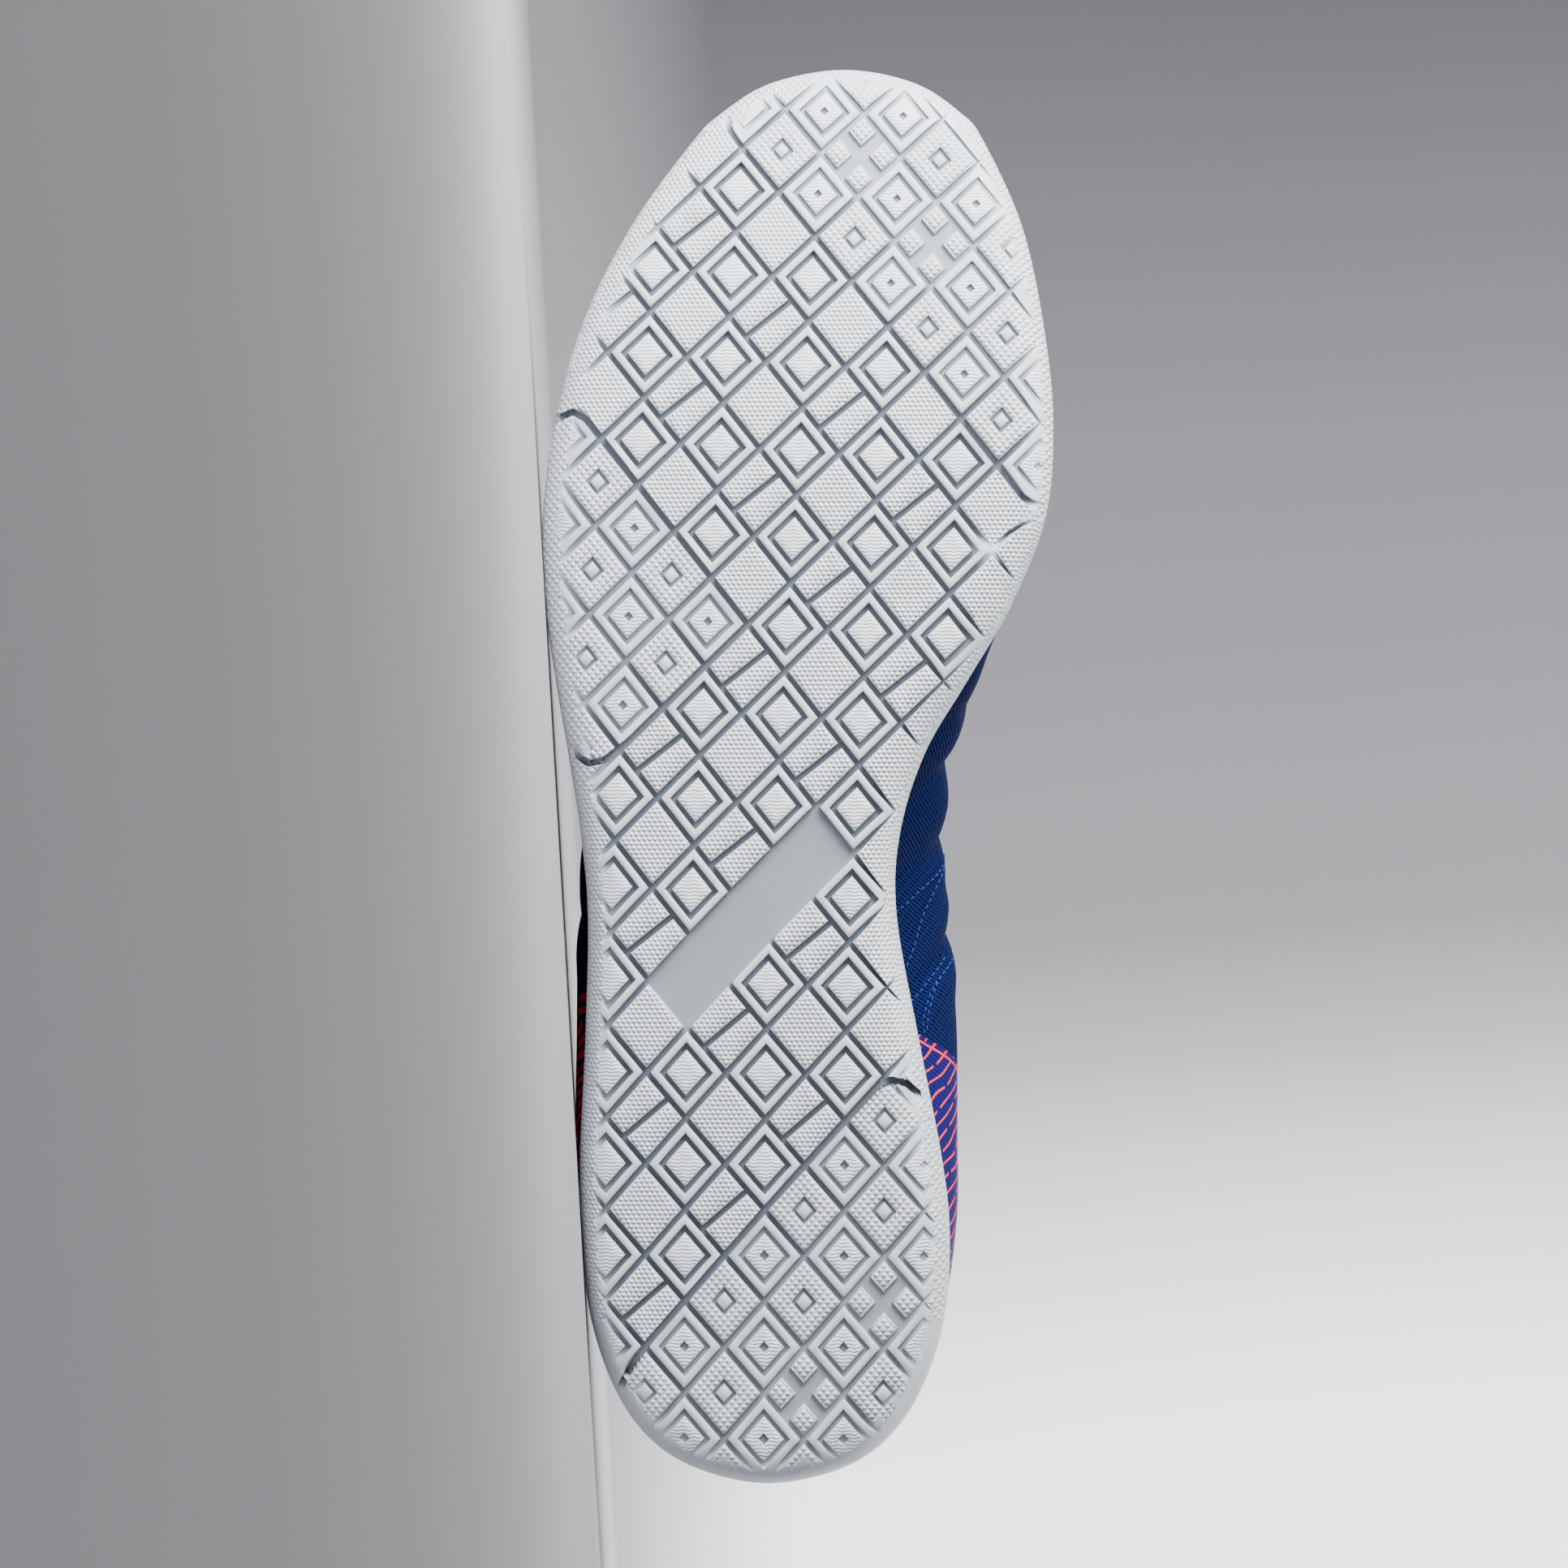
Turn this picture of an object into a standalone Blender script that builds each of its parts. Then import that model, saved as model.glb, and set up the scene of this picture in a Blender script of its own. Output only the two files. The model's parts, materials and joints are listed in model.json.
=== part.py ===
"""A right indoor soccer shoe, lying empty on its lateral side.

The shoe is modelled in its own axes: x from the back of the heel to the tip of the toe, y towards the medial
side, z up from the ground. It is first modelled on a level sole, then every piece gets the same toe spring and
heel lift, and an empty lays the whole shoe down on its side.
"""

import math

import bmesh
import bpy
import numpy as np
from mathutils import Matrix, Vector

MM = 0.001

# Driving sizes of the last
LENGTH = 286 * MM
BALL_WIDTH = 102 * MM
INSTEP_HEIGHT = 80 * MM
HEEL_HEIGHT = 77 * MM
TOE_SPRING = 13 * MM
HEEL_LIFT = 5 * MM

# Walls, layers and clearances
SOLE_THICKNESS = 6 * MM
SIDEWALL = 3.2 * MM
ROLL_WIDTH = 9 * MM
ROLL_HEIGHT = 7 * MM
CHANNEL_DEPTH = 0.7 * MM
CHANNEL_WIDTH = 1.2 * MM
CHANNEL_BELOW_LIP = 4.5 * MM
UPPER_WALL = 2.2 * MM
COLLAR_PAD = 6.5 * MM
INSOLE_THICKNESS = 4 * MM
TONGUE_THICKNESS = 4.5 * MM
TONGUE_ABOVE_THROAT = 22 * MM
TONGUE_CROWN = 1.5 * MM
EYESTAY_THICKNESS = 1.1 * MM
LACE_WIDTH = 6 * MM
LACE_THICKNESS = 1.4 * MM
LACE_CLEARANCE = 1.2 * MM
LACE_ROWS = 6
GAP = 0.3 * MM

# Tread: rhombic cells in slanting rows, worked out from a ring's pitch across and along the sole
PITCH_ACROSS = 15.87 * MM
PITCH_ALONG = 18.35 * MM
PITCH_CLOSING = 0.042 * MM
FIRST_ROW = 10.5 * MM
GROOVE_WIDTH = 1.0 * MM
GROOVE_DEPTH = 1.6 * MM
ZONE_DEPTH = 0.8 * MM
RING_BAND = 1.3 * MM
RING_GROOVE = 0.95 * MM
CUTTER_BELOW = 1 * MM

# The last's centre line: straight under the heel, then turned towards the big toe
BEND_PLACE = 0.367
BEND_SLOPE = 0.069
BEND_ROUNDING = 0.105

# Where toe spring begins and where the heel lift begins and ends, as shares of the length
SPRING_FROM = 0.68
LIFT_FROM = 0.61
LIFT_FULL = 0.28

# Outline of the sole seen from below: share of the length, then half widths as shares of the ball width
OUTLINE_COLUMNS = ("along", "lateral", "medial")
HEEL_TIP = (0.000, 0.005)
TOE_TIP = (1.000, 0.152)
OUTLINE = (
    (0.009, 0.125, 0.138),
    (0.029, 0.222, 0.233),
    (0.063, 0.294, 0.303),
    (0.114, 0.345, 0.352),
    (0.172, 0.364, 0.364),
    (0.229, 0.368, 0.347),
    (0.315, 0.357, 0.300),
    (0.400, 0.351, 0.258),
    (0.458, 0.364, 0.265),
    (0.515, 0.388, 0.315),
    (0.566, 0.412, 0.399),
    (0.618, 0.431, 0.484),
    (0.681, 0.437, 0.553),
    (0.749, 0.412, 0.567),
    (0.818, 0.359, 0.547),
    (0.887, 0.265, 0.505),
    (0.947, 0.148, 0.431),
    (0.967, 0.095, 0.388),
    (0.990, -0.005, 0.293),
)

# Walls of the upper, a row for each section from the heel (turn 0) round either side to the toe (turn 1).
# top_along is a share of the length, top_half of the ball width, of_heel and of_instep of those heights,
# the widest point stands out from the sole by wide_lateral or wide_medial of the ball width, and wide_up,
# rise and lip are shares of the instep height. slope is the wall's slope at its top edge, in degrees.
WALL_COLUMNS = (
    "turn", "top_along", "top_half", "of_heel", "of_instep",
    "wide_lateral", "wide_medial", "wide_up", "rise", "slope", "lip",
)
WALLS = (
    (0.00, 0.030, 0.000, 1.000, 0.000, -0.010, -0.010, 0.34, 0.30, 86, 0.18),
    (0.08, 0.038, 0.135, 0.970, 0.000, -0.008, -0.008, 0.34, 0.30, 84, 0.18),
    (0.16, 0.085, 0.245, 0.860, 0.000, 0.000, 0.000, 0.34, 0.28, 80, 0.17),
    (0.25, 0.160, 0.285, 0.765, 0.000, 0.028, 0.030, 0.35, 0.25, 76, 0.16),
    (0.33, 0.240, 0.290, 0.745, 0.000, 0.041, 0.078, 0.37, 0.22, 72, 0.16),
    (0.40, 0.310, 0.262, 0.800, 0.000, 0.042, 0.098, 0.38, 0.22, 66, 0.16),
    (0.46, 0.362, 0.205, 0.000, 0.930, 0.014, 0.081, 0.37, 0.24, 58, 0.16),
    (0.51, 0.400, 0.155, 0.000, 1.000, -0.010, 0.045, 0.34, 0.25, 50, 0.16),
    (0.60, 0.465, 0.130, 0.000, 0.935, -0.028, -0.005, 0.27, 0.24, 42, 0.16),
    (0.68, 0.528, 0.115, 0.000, 0.845, -0.030, -0.028, 0.24, 0.22, 36, 0.16),
    (0.76, 0.590, 0.103, 0.000, 0.752, -0.030, -0.030, 0.24, 0.20, 28, 0.17),
    (0.85, 0.640, 0.082, 0.000, 0.690, -0.030, -0.030, 0.26, 0.18, 20, 0.19),
    (0.93, 0.658, 0.045, 0.000, 0.670, -0.026, -0.026, 0.28, 0.17, 15, 0.21),
    (1.00, 0.664, 0.000, 0.000, 0.664, -0.022, -0.022, 0.29, 0.16, 12, 0.22),
)

# How far up the wall the eyestay begins, by turn, and where it and the padded collar end
EYESTAY_FROM = 0.47
EYESTAY_DEPTH = 17 * MM
EYELET_DEPTH = 8 * MM
COLLAR_ENDS = 0.47
COLLAR_ROLL = 14 * MM
LACE_FIRST_TURN = 0.83
LACE_LAST_TURN = 0.55

# Mesh density
AROUND = 72
BEND_STATIONS = 11

# Cells of the tread. A cell is (m, n): m counts slanting rows down to the right, n down to the left,
# in a view of the sole with the toe up. Both even or both odd is a ring.
RING_ORIGIN = (-1, 14)
CELLS_M = (-3, 19)
CELLS_N = (-6, 17)
BARE_PANEL = {(9, 6), (9, 7), (9, 8), (9, 9)}


def smooth(x):
    """0 below 0, 1 above 1, and a soft ramp between."""
    x = min(1.0, max(0.0, x))
    return x * x * (3 - 2 * x)


def spine(x):
    """How far the last's centre line lies to the medial side at x."""
    past = x - BEND_PLACE * LENGTH
    return BEND_SLOPE * 0.5 * (past + math.hypot(past, BEND_ROUNDING * LENGTH))


def spring(x):
    """Height that the toe spring adds at x."""
    return TOE_SPRING * max(0.0, (x / LENGTH - SPRING_FROM) / (1 - SPRING_FROM)) ** 2


def lift(x):
    """Height that the wedge under the heel adds at x."""
    return HEEL_LIFT * smooth((LIFT_FROM - x / LENGTH) / (LIFT_FROM - LIFT_FULL))


def bent(p):
    """A point of the level shoe after toe spring and heel lift. The tread's own face keeps level at the heel."""
    above = (p.z - GROOVE_DEPTH) / (SOLE_THICKNESS - GROOVE_DEPTH)
    return Vector((p.x, p.y, p.z + spring(p.x) + lift(p.x) * min(1.0, max(0.0, above))))


def closed_spline(points, steps):
    """A smooth closed line through the points, as Catmull and Rom drew it, with that many steps a span."""
    p = np.array(points, float)
    before, after, further = np.roll(p, 1, 0), np.roll(p, -1, 0), np.roll(p, -2, 0)
    line = []
    for k in range(len(p)):
        for s in np.arange(steps) / steps:
            line.append(
                0.5 * (2 * p[k] + (after[k] - before[k]) * s
                       + (2 * before[k] - 5 * p[k] + 4 * after[k] - further[k]) * s**2
                       + (3 * p[k] - before[k] - 3 * after[k] + further[k]) * s**3)
            )
    return np.array(line)


def make_outline():
    """The sole's outline as two dense lines from heel tip to toe tip, with the share of the way along each."""
    lateral = [(a * LENGTH, -w * BALL_WIDTH) for a, w, _ in OUTLINE]
    medial = [(a * LENGTH, w * BALL_WIDTH) for a, _, w in OUTLINE]
    heel = (HEEL_TIP[0] * LENGTH, HEEL_TIP[1] * BALL_WIDTH)
    toe = (TOE_TIP[0] * LENGTH, TOE_TIP[1] * BALL_WIDTH)
    steps = 12
    loop = closed_spline([heel, *lateral, toe, *medial[::-1]], steps)
    half = (len(lateral) + 1) * steps
    sides = (loop[: half + 1], np.vstack([loop[half:], loop[:1]])[::-1])
    made = []
    for line in sides:
        run = np.r_[0, np.cumsum(np.hypot(*np.diff(line, axis=0).T))]
        made.append((line, run / run[-1]))
    return made


OUTLINE_SIDES = make_outline()


def outline_at(turn, medial):
    """(point, outward direction) of the sole's outline at a share of the way from heel tip to toe tip."""
    line, run = OUTLINE_SIDES[medial]
    step = 0.004

    def place(t):
        if t < 0 or t > 1:
            other, way = OUTLINE_SIDES[not medial]
            t = -t if t < 0 else 2 - t
            return np.array([np.interp(t, way, other[:, 0]), np.interp(t, way, other[:, 1])])
        return np.array([np.interp(t, run, line[:, 0]), np.interp(t, run, line[:, 1])])

    along = place(turn + step) - place(turn - step)
    along /= np.hypot(*along)
    out = np.array([along[1], -along[0]]) * (1 if not medial else -1)
    return place(turn), out


def around(count):
    """Turns and sides all the way round the shoe: down the lateral side to the toe, and back up the medial."""
    half = count // 2
    return [(k / half, False) for k in range(half)] + [(1 - k / half, True) for k in range(half)]


def spline_row(turn):
    """The WALLS row at this turn, worked out smoothly between the rows as named columns."""
    table = np.array(WALLS, float)
    turns = table[:, 0]
    mirrored = np.vstack([table[2:0:-1], table, table[-2:-4:-1]])
    mirrored[:2, 0] *= -1
    mirrored[-2:, 0] = 2 - mirrored[-2:, 0]
    turns = mirrored[:, 0]
    half = WALL_COLUMNS.index("top_half")
    mirrored[:2, half] *= -1
    mirrored[-2:, half] *= -1
    k = int(np.clip(np.searchsorted(turns, turn, "right") - 1, 1, len(turns) - 3))
    width = turns[k + 1] - turns[k]
    s = (turn - turns[k]) / width
    start = (mirrored[k + 1] - mirrored[k - 1]) / (turns[k + 1] - turns[k - 1]) * width
    end = (mirrored[k + 2] - mirrored[k]) / (turns[k + 2] - turns[k]) * width
    row = (
        (2 * s**3 - 3 * s**2 + 1) * mirrored[k] + (s**3 - 2 * s**2 + s) * start
        + (3 * s**2 - 2 * s**3) * mirrored[k + 1] + (s**3 - s**2) * end
    )
    return dict(zip(WALL_COLUMNS, row))


def lip_height(turn):
    """Height of the cup sole's lip above the level ground."""
    return SOLE_THICKNESS + spline_row(turn)["lip"] * INSTEP_HEIGHT


def bezier(a, b, c, d, s):
    return a * (1 - s) ** 3 + b * 3 * s * (1 - s) ** 2 + c * 3 * s**2 * (1 - s) + d * s**3


def wall_point(turn, medial, v):
    """The upper's outer face on the level shoe: v is 0 at the feather edge, 0.2 at the lip, 0.45 at the widest
    point and 1 at the collar or throat edge."""
    row = spline_row(turn)
    foot, out = outline_at(turn, medial)
    out = Vector((out[0], out[1], 0))
    up = Vector((0, 0, 1))
    inside = Vector((foot[0], foot[1], 0)) - out * (SIDEWALL + GAP)
    bottom = inside + up * (SOLE_THICKNESS + GAP)
    lip = inside + up * (lip_height(turn) + 2 * GAP)
    if v <= 0.2:
        return bottom.lerp(lip, v / 0.2)
    wide = row["wide_medial" if medial else "wide_lateral"] * BALL_WIDTH
    widest = Vector((foot[0], foot[1], 0)) + out * wide
    widest.z = SOLE_THICKNESS + row["wide_up"] * INSTEP_HEIGHT
    if v <= 0.45:
        height = widest.z - lip.z
        return bezier(lip, lip + up * height * 0.35, widest - up * height * 0.45, widest, (v - 0.2) / 0.25)
    x = row["top_along"] * LENGTH
    side = 1 if medial else -1
    top = Vector((x, spine(x) + side * row["top_half"] * BALL_WIDTH, 0))
    top.z = SOLE_THICKNESS + row["of_heel"] * HEEL_HEIGHT + row["of_instep"] * INSTEP_HEIGHT
    inward = Vector((top.x - widest.x, top.y - widest.y, 0)).normalized()
    reach = (top - widest).length
    slope = math.radians(row["slope"])
    arrive = top - (inward * math.cos(slope) + up * math.sin(slope)) * reach * 0.38
    return bezier(widest, widest + up * row["rise"] * INSTEP_HEIGHT, arrive, top, (v - 0.45) / 0.55)


def wall_normal(turn, medial, v):
    """Outward normal of the upper's outer face."""
    step = 0.01
    back, on = max(0.0, turn - step), min(1.0, turn + step)
    along = wall_point(on, medial, v) - wall_point(back, medial, v)
    up = wall_point(turn, medial, min(1.0, v + step)) - wall_point(turn, medial, max(0.0, v - step))
    normal = up.cross(along) if medial else along.cross(up)
    if turn in (0.0, 1.0):
        normal.y = 0.0
    return normal.normalized()


def depth_below_top(turn, medial, depth):
    """The v at which the wall lies that far below its top edge, measured down the wall."""
    v, run, stride = 1.0, 0.0, 0.0
    last = wall_point(turn, medial, v)
    while run < depth and v > 0.3:
        v -= 0.02
        here = wall_point(turn, medial, v)
        stride = (here - last).length
        run += stride
        last = here
    return v + 0.02 * (run - depth) / stride


def object_from(bm, name, colour=None):
    """A new object of the part with this bmesh, in the shoe's axes."""
    mesh = bpy.data.meshes.new(name)
    bm.to_mesh(mesh)
    bm.free()
    obj = bpy.data.objects.new(name, mesh)
    (PART if colour else CUTTERS).objects.link(obj)
    if colour:
        mesh.materials.append(material(name, *colour))
    return obj


def material(name, rgb, roughness, metallic=0.0):
    made = bpy.data.materials.new(name)
    made.use_nodes = True
    shader = made.node_tree.nodes["Principled BSDF"]
    shader.inputs["Base Color"].default_value = (*rgb, 1)
    shader.inputs["Roughness"].default_value = roughness
    shader.inputs["Metallic"].default_value = metallic
    return made


def loft(loops, close_ends=False, ring=True):
    """A bmesh through loops of points: quads between neighbouring loops, and an end face on each end if asked."""
    bm = bmesh.new()
    rows = [[bm.verts.new(p) for p in loop] for loop in loops]
    count = len(rows[0])
    for low, high in zip(rows, rows[1:]):
        for k in range(count if ring else count - 1):
            n = (k + 1) % count
            bm.faces.new((low[k], low[n], high[n], high[k]))
    if close_ends:
        bm.faces.new(rows[0][::-1])
        bm.faces.new(rows[-1])
    bmesh.ops.recalc_face_normals(bm, faces=bm.faces)
    return bm


def face_outwards(bm):
    """Turns an open wall's faces away from the shoe's middle height line."""
    middle = Vector((0.5 * LENGTH, 0, SOLE_THICKNESS + 0.3 * INSTEP_HEIGHT))
    bm.faces.ensure_lookup_table()
    face = bm.faces[0]
    if face.normal.dot(face.calc_center_median() - middle) < 0:
        bmesh.ops.reverse_faces(bm, faces=bm.faces)


def apply_modifiers(obj):
    """Makes an object's mesh the one that its modifiers give."""
    graph = bpy.context.evaluated_depsgraph_get()
    made = bpy.data.meshes.new_from_object(obj.evaluated_get(graph))
    obj.modifiers.clear()
    old = obj.data
    obj.data = made
    bpy.data.meshes.remove(old)


def bend_mesh(obj):
    for vertex in obj.data.vertices:
        vertex.co = bent(vertex.co)


def shade(obj, angle=35):
    obj.data.shade_smooth()
    obj.data.set_sharp_from_angle(angle=math.radians(angle))


def level_loop(inset, height):
    """A loop round the outline at an inset, with a height or a rule for the height at each turn."""
    loop = []
    for turn, medial in around(AROUND):
        point, out = outline_at(turn, medial)
        z = height(turn) if callable(height) else height
        loop.append(Vector((point[0] - out[0] * inset, point[1] - out[1] * inset, z)))
    return loop


def cup_loops():
    """Loops of the cup sole from the edge of its flat tread, round the roll and the sidewall, to its floor."""
    loops = []
    for share in (0.0, 0.35, 0.7, 0.95):
        angle = share * math.pi / 2
        loops.append(level_loop(ROLL_WIDTH * (1 - math.sin(angle)), ROLL_HEIGHT * (1 - math.cos(angle))))
    channel = CHANNEL_BELOW_LIP
    for inset, below in (
        (0, channel + CHANNEL_WIDTH),
        (CHANNEL_DEPTH, channel + 0.8 * CHANNEL_WIDTH),
        (CHANNEL_DEPTH, channel + 0.2 * CHANNEL_WIDTH),
        (0, channel),
        (0.12 * SIDEWALL, 0.3 * SIDEWALL),
        (0.45 * SIDEWALL, 0),
        (SIDEWALL, 0),
    ):
        loops.append(level_loop(inset, lambda turn, below=below: lip_height(turn) - below))
    loops.append(level_loop(SIDEWALL, SOLE_THICKNESS))
    return loops


def lattice(m, n):
    """Where the point (m, n) of the tread's slanting rows lies on the level sole."""
    across = RING_ORIGIN[0] + (m - n) / 2
    row = RING_ORIGIN[1] - (m + n) / 2
    x = FIRST_ROW + PITCH_ALONG * row - PITCH_CLOSING * row * abs(row)
    slope = (spine(x + MM) - spine(x - MM)) / (2 * MM)
    size = math.hypot(1, slope)
    return Vector((x - across * PITCH_ACROSS * slope / size, spine(x) + across * PITCH_ACROSS / size, 0))


def in_zone(m, n):
    """Whether a cell lies in the shallow-cut toe, lateral forefoot or heel zone."""
    return n <= -1 or (n >= 5 and m <= 5) or m >= 13


def inside_outline(point, margin):
    """Whether a point of the sole lies inside the outline, or within margin outside it."""
    loop = np.vstack([OUTLINE_SIDES[0][0], OUTLINE_SIDES[1][0][::-1]])
    x, y = point.x, point.y
    nearest = np.hypot(loop[:, 0] - x, loop[:, 1] - y).min()
    ahead = np.roll(loop, -1, 0)
    crosses = (loop[:, 1] > y) != (ahead[:, 1] > y)
    rise = np.where(ahead[:, 1] == loop[:, 1], 1, ahead[:, 1] - loop[:, 1])
    at = loop[:, 0] + (y - loop[:, 1]) * (ahead[:, 0] - loop[:, 0]) / rise
    odd = int((crosses & (x < at)).sum()) % 2 == 1
    return odd or nearest < margin


def tread_cutter():
    """The tread's grooves as one plate with holes where the lugs stand, deep in the middle, shallow in the zones."""
    wide, high = CELLS_M[1] - CELLS_M[0], CELLS_N[1] - CELLS_N[0]
    bm = bmesh.new()
    bmesh.ops.create_grid(bm, x_segments=wide, y_segments=high, size=0.5)
    cell_of = bm.faces.layers.int.new("cell")
    for face in bm.faces:
        c = face.calc_center_median()
        face[cell_of] = int((c.x + 0.5) * wide) * high + int((c.y + 0.5) * high)
    for v in bm.verts:
        m = CELLS_M[0] + (v.co.x + 0.5) * wide - 0.5
        n = CELLS_N[0] + (v.co.y + 0.5) * high - 0.5
        v.co = lattice(round(2 * m) / 2, round(2 * n) / 2)
    outside = [f for f in bm.faces if not inside_outline(f.calc_center_median(), 0)]
    bmesh.ops.delete(bm, geom=outside, context="FACES")
    bmesh.ops.recalc_face_normals(bm, faces=bm.faces)

    cells = {}
    for face in bm.faces:
        m, n = CELLS_M[0] + face[cell_of] // high, CELLS_N[0] + face[cell_of] % high
        cells[(m, n)] = face
    lugs = [face for cell, face in cells.items() if cell not in BARE_PANEL]
    grooves = [face for cell, face in cells.items() if cell in BARE_PANEL]
    grooves += bmesh.ops.inset_individual(
        bm, faces=lugs, thickness=GROOVE_WIDTH / 2, use_even_offset=True
    )["faces"]

    rings = [f for (m, n), f in cells.items() if (m + n) % 2 == 0 and (m, n) not in BARE_PANEL]
    bmesh.ops.inset_individual(bm, faces=rings, thickness=RING_BAND, use_even_offset=True)
    grooves += bmesh.ops.inset_individual(bm, faces=rings, thickness=RING_GROOVE, use_even_offset=True)["faces"]

    splits = [(m, n) for m, n in cells if m % 2 == 0 and n % 2 and not in_zone(m, n)]
    for m, n in splits:
        grooves.append(split_lug(bm, cells[(m, n)], lattice(m + 0.5, n) - lattice(m - 0.5, n)))

    bmesh.ops.delete(bm, geom=[f for f in bm.faces if f not in set(grooves)], context="FACES")
    deep = {v for f in bm.faces for v in f.verts if not in_zone(*divmod_cell(f[cell_of], high))}
    deep_places = {tuple(round(c / (0.1 * MM)) for c in v.co) for v in deep}
    bmesh.ops.translate(bm, vec=(0, 0, -CUTTER_BELOW), verts=bm.verts)
    raised = bmesh.ops.extrude_face_region(bm, geom=list(bm.faces))["geom"]
    for v in raised:
        if isinstance(v, bmesh.types.BMVert):
            place = tuple(round(c / (0.1 * MM)) for c in (v.co.x, v.co.y, 0))
            v.co.z = GROOVE_DEPTH if place in deep_places else ZONE_DEPTH
    bmesh.ops.recalc_face_normals(bm, faces=bm.faces)
    cutter = object_from(bm, "tread_grooves")
    cutter.hide_render = True
    cutter.display_type = "WIRE"
    return cutter


def divmod_cell(number, high):
    """The (m, n) of a cell from the number kept on its faces."""
    return CELLS_M[0] + number // high, CELLS_N[0] + number % high


def split_lug(bm, face, along):
    """Cuts a lug's face into two bars, and returns the strip between them."""
    along = along.normalized()
    middle = face.calc_center_median()
    strip = face
    for side in (-1, 1):
        geom = [strip, *strip.edges, *strip.verts]
        place = middle + along * side * GROOVE_WIDTH / 2
        bmesh.ops.bisect_plane(bm, geom=geom, dist=1e-7, plane_co=place, plane_no=along)
        near = [f for f in bm.faces if (f.calc_center_median() - middle).length < GROOVE_WIDTH
                and f.calc_area() < PITCH_ACROSS * PITCH_ALONG / 3]
        strip = min(near, key=lambda f: (f.calc_center_median() - middle).length) if near else strip
    return strip


def bend_cuts(bm):
    """Cuts across the mesh wherever the toe spring and heel lift will bend it, so that its long faces follow."""
    for k in range(1, BEND_STATIONS):
        x = LENGTH * (LIFT_FULL + (1 - LIFT_FULL) * k / BEND_STATIONS)
        geom = [*bm.verts, *bm.edges, *bm.faces]
        bmesh.ops.bisect_plane(bm, geom=geom, dist=1e-6, plane_co=(x, 0, 0), plane_no=(1, 0, 0))


def make_outsole():
    """The cup sole: tread, roll, sidewall with its stitch channel, and the well that the upper stands in."""
    bm = loft(cup_loops(), close_ends=True)
    outsole = object_from(bm, "outsole", ((0.78, 0.81, 0.84), 0.55))
    cut = outsole.modifiers.new("tread", "BOOLEAN")
    cut.operation, cut.solver, cut.object = "DIFFERENCE", "EXACT", tread_cutter()
    apply_modifiers(outsole)
    bm = bmesh.new()
    bm.from_mesh(outsole.data)
    bmesh.ops.dissolve_limit(bm, angle_limit=math.radians(0.2), verts=bm.verts, edges=bm.edges)
    bend_cuts(bm)
    bmesh.ops.triangulate(bm, faces=bm.faces)
    bm.to_mesh(outsole.data)
    bm.free()
    bend_mesh(outsole)
    shade(outsole)
    return outsole


def make_insole():
    """The footbed inside the upper, on the cup's floor."""
    inset = SIDEWALL + UPPER_WALL + 3 * GAP
    low, high = SOLE_THICKNESS + 1.5 * GAP, SOLE_THICKNESS + 1.5 * GAP + INSOLE_THICKNESS
    bm = loft(
        [level_loop(inset, low), level_loop(inset, high - MM), level_loop(inset + MM, high)],
        close_ends=True,
    )
    bend_cuts(bm)
    insole = object_from(bm, "insole", ((0.05, 0.06, 0.1), 0.9))
    bend_mesh(insole)
    shade(insole)
    return insole


UPPER_ROWS = (0.0, 0.2, 0.28, 0.37, 0.47, 0.6, 0.73, 0.84, 0.93, 1.0)


def make_upper():
    """The upper: one wall all round, open at the collar and throat and underneath, thicker at the padded collar."""
    turns = around(AROUND)
    bm = loft([[bent(wall_point(t, medial, v)) for t, medial in turns] for v in UPPER_ROWS])
    face_outwards(bm)
    upper = object_from(bm, "upper", ((0.02, 0.08, 0.36), 0.85))
    group = upper.vertex_groups.new(name="wall")
    for k, vertex in enumerate(upper.data.vertices):
        row, place = divmod(k, AROUND)
        turn, medial = turns[place]
        v = UPPER_ROWS[row]
        below = (wall_point(turn, medial, 1.0) - wall_point(turn, medial, v)).length
        pad = smooth((COLLAR_ENDS - turn) / 0.08) * smooth((COLLAR_ROLL - below) / (0.5 * COLLAR_ROLL))
        group.add([vertex.index], (UPPER_WALL + (COLLAR_PAD - UPPER_WALL) * pad) / COLLAR_PAD, "REPLACE")
    wall = upper.modifiers.new("wall", "SOLIDIFY")
    wall.thickness, wall.offset, wall.vertex_group = COLLAR_PAD, -1, "wall"
    shade(upper)
    return upper


def strip_rows(count, first, last):
    """Turns and sides from a place on the lateral throat, round its bottom, to the same place on the medial."""
    half = count // 2
    down = [(first + (last - first) * k / half, False) for k in range(half + 1)]
    return down + [(turn, True) for turn, _ in down[-2::-1]]


def make_eyestay():
    """The reinforcement round the throat, laid on the upper's own face."""
    places = strip_rows(44, EYESTAY_FROM, 1.0)
    loops = []
    for turn, medial in places:
        low = depth_below_top(turn, medial, EYESTAY_DEPTH)
        loop = []
        for share in (0, 0.33, 0.67, 1):
            v = low + (0.995 - low) * share
            loop.append(bent(wall_point(turn, medial, v) + wall_normal(turn, medial, v) * GAP))
        loops.append(loop)
    bm = loft(loops, ring=False)
    face_outwards(bm)
    eyestay = object_from(bm, "eyestay", ((0.02, 0.07, 0.3), 0.7))
    wall = eyestay.modifiers.new("thickness", "SOLIDIFY")
    wall.thickness, wall.offset = EYESTAY_THICKNESS, 1
    shade(eyestay)
    return eyestay


def under_wall(turn, medial, v, clearance):
    """A point that clearance below the upper's inner face."""
    return wall_point(turn, medial, v) - wall_normal(turn, medial, v) * (UPPER_WALL + clearance)


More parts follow.
